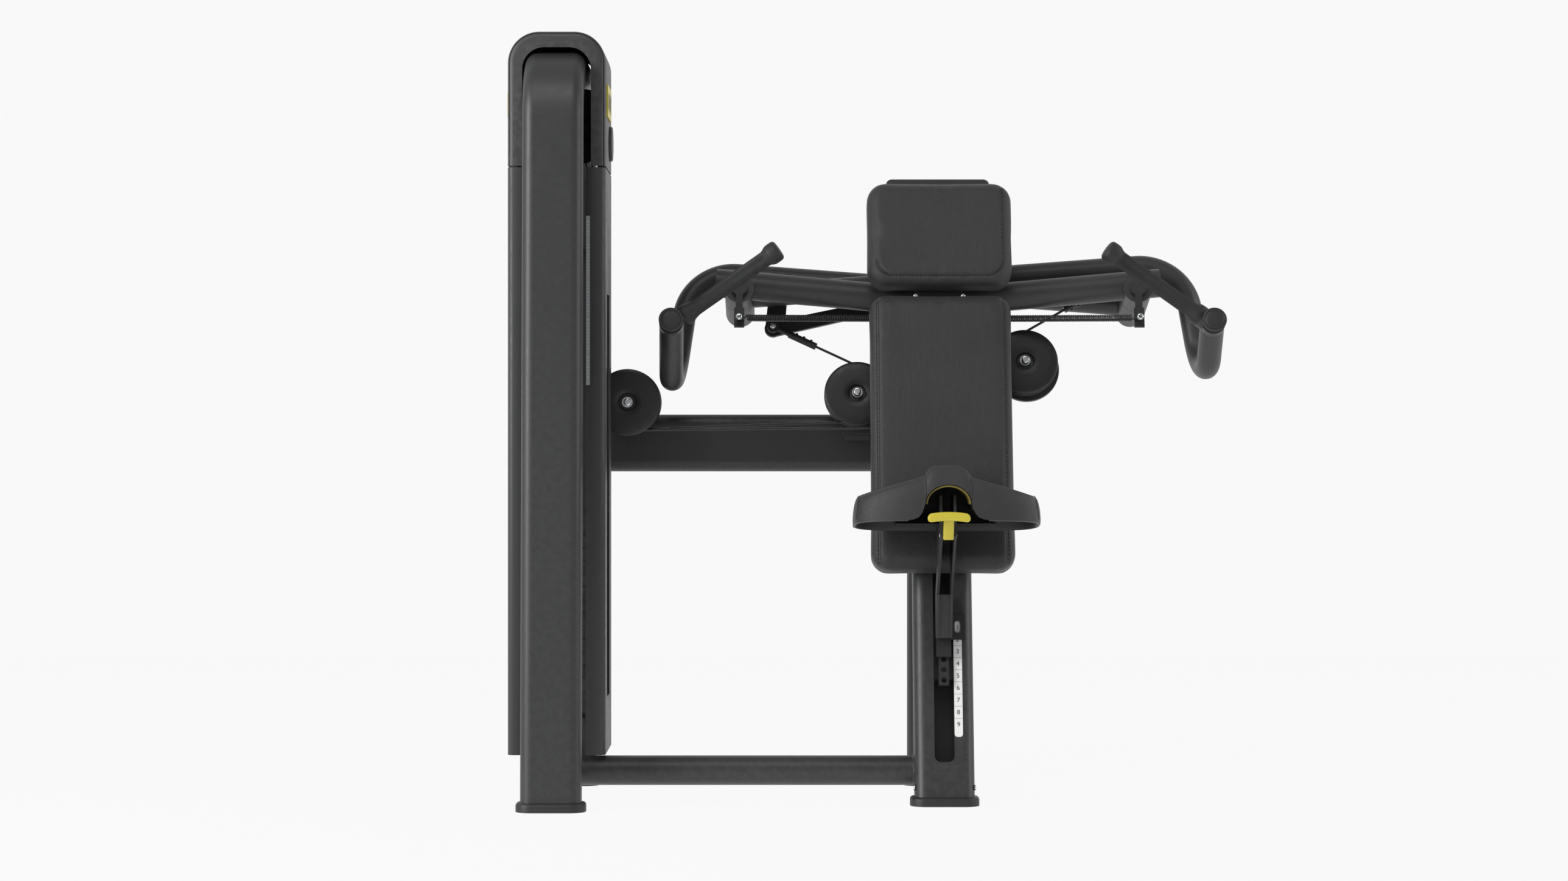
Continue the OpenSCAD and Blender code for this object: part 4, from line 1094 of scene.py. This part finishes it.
# ---- Bolts and screws ----
# Plated button-head screws: one low on each side of the seat post, two under the head pad,
# one at each lever and rod end, and one in the middle of each pulley in front.


def button(name, place, way, radius, height, body):
    bpy.ops.mesh.primitive_cylinder_add(vertices=40, radius=radius, depth=height)
    head = bpy.context.object
    head.name = name
    mesh = bmesh.new()
    mesh.from_mesh(head.data)
    top_face = max(mesh.faces, key=lambda f: f.calc_center_median().z)
    rim = list(top_face.edges)
    bmesh.ops.bevel(mesh, geom=rim, offset=height * 0.62, segments=5, profile=0.5, affect="EDGES")
    top_face = max(mesh.faces, key=lambda f: f.calc_center_median().z)
    bmesh.ops.inset_region(mesh, faces=[top_face], thickness=radius * 0.18, depth=0)
    bmesh.ops.inset_region(mesh, faces=[top_face], thickness=0.0001, depth=-height * 0.4)
    mesh.to_mesh(head.data)
    mesh.free()
    turn = Vector(way).to_track_quat("Z", "Y").to_matrix().to_4x4()
    head.data.transform(Matrix.Translation(Vector(place)) @ turn)
    pick(head)
    bpy.ops.object.shade_smooth_by_angle(angle=math.radians(35))
    head.data.materials.append(bright_plate)
    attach(head, body)
    return head


for side in (-1, 1):
    button(f"foot_screw_{'lr'[side > 0]}", (side * 0.0585, -0.006, 0.034), (side, 0, 0), 0.0055,
           0.0035, "frame")

forward = (0, -math.cos(lean), math.sin(lean))
for side, body in ((-1, "right_press_arm"), (1, "left_press_arm")):
    button(f"lever_bolt_{'lr'[side > 0]}", press_spot(side * 0.395, -0.0602, -0.067), forward,
           0.0068, 0.006, body)
    button(f"head_pad_bolt_{'lr'[side > 0]}", lean_turn @ Vector((side * 0.047, -0.0605, 1.0025)),
           forward, 0.0045, 0.003, "frame")
button("left_eye_bolt", press_spot(-0.3286, 0.0795, -0.0424), forward, 0.0062, 0.005,
       "left_press_arm")
button("right_eye_bolt", press_spot(0.3385, 0.0475, 0.032), forward, 0.0062, 0.005,
       "right_press_arm")
for name, x, y, z in (("left", -0.160, 0.088, -0.185), ("right", 0.174, 0.056, -0.128),
                      ("centre", 0.064, 0.056, -0.206)):
    button(f"{name}_pulley_bolt", press_spot(x, y - 0.0262, z), forward, 0.0078, 0.0045, "frame")
low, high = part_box("tower_pulley")
button("tower_pulley_bolt", (-0.617, low.y - 0.0105, 0.772), (0, -1, 0), 0.0078, 0.0045, "frame")

# ---- Pulleys ----
# Moulded nylon sheaves, each turned from one profile: a slightly domed face with a round
# rim, a V groove for the rope and a sunk seat for the bolt.
for name, centre, half, grooves, leaning_part in (
        ("left", (-0.160, 0.088, -0.185), 0.015, (0.0,), True),
        ("right", (0.174, 0.056, -0.128), 0.015, (0.0,), True),
        ("centre", (0.064, 0.056, -0.206), 0.015, (0.0,), True),
        ("tower", (-0.617, 0.275, 0.772), 0.031, (-0.017, 0.017), False)):
    profile = [(0.0082, -half + 0.0050), (0.0150, -half + 0.0050), (0.0164, -half + 0.0046),
               (0.0172, -half + 0.0034), (0.0180, -half + 0.0008), (0.0192, -half + 0.0001),
               (0.0300, -half), (0.0480, -half + 0.0002), (0.0590, -half + 0.0008),
               (0.0640, -half + 0.0020), (0.0655, -half + 0.0030), (0.0660, -half + 0.0042)]
    for groove in grooves:
        profile += [(0.0658, groove - 0.0100), (0.0525, groove - 0.0027), (0.0521, groove - 0.0016),
                    (0.0521, groove + 0.0016), (0.0525, groove + 0.0027), (0.0658, groove + 0.0100)]
    profile += [(0.0660, half - 0.0042), (0.0655, half - 0.0030), (0.0640, half - 0.0020),
                (0.0590, half - 0.0008), (0.0300, half), (0.0082, half)]
    bpy.ops.mesh.primitive_circle_add(vertices=len(profile), radius=1, fill_type="NOTHING")
    sheave = bpy.context.object
    sheave.name = f"{name}_sheave"
    for vertex, (radius, along) in zip(sheave.data.vertices, profile):
        vertex.co = (radius, 0, along)
    spin = sheave.modifiers.new("spin", "SCREW")
    spin.axis = "Z"
    spin.steps = 96
    spin.render_steps = 96
    spin.use_merge_vertices = True
    apply_modifiers(sheave)
    face_out()
    place = Matrix.Translation(Vector(centre) + Vector((0, 0, press_rise if leaning_part else 0)))
    if leaning_part:
        place = lean_turn @ place
    sheave.data.transform(place @ Matrix.Rotation(math.radians(-90), 4, "X"))
    pick(sheave)
    bpy.ops.object.shade_smooth_by_angle(angle=math.radians(30))
    sheave.data.materials.append(pulley_nylon)
    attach(sheave, f"{name}_pulley")
    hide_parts(f"{name}_pulley")
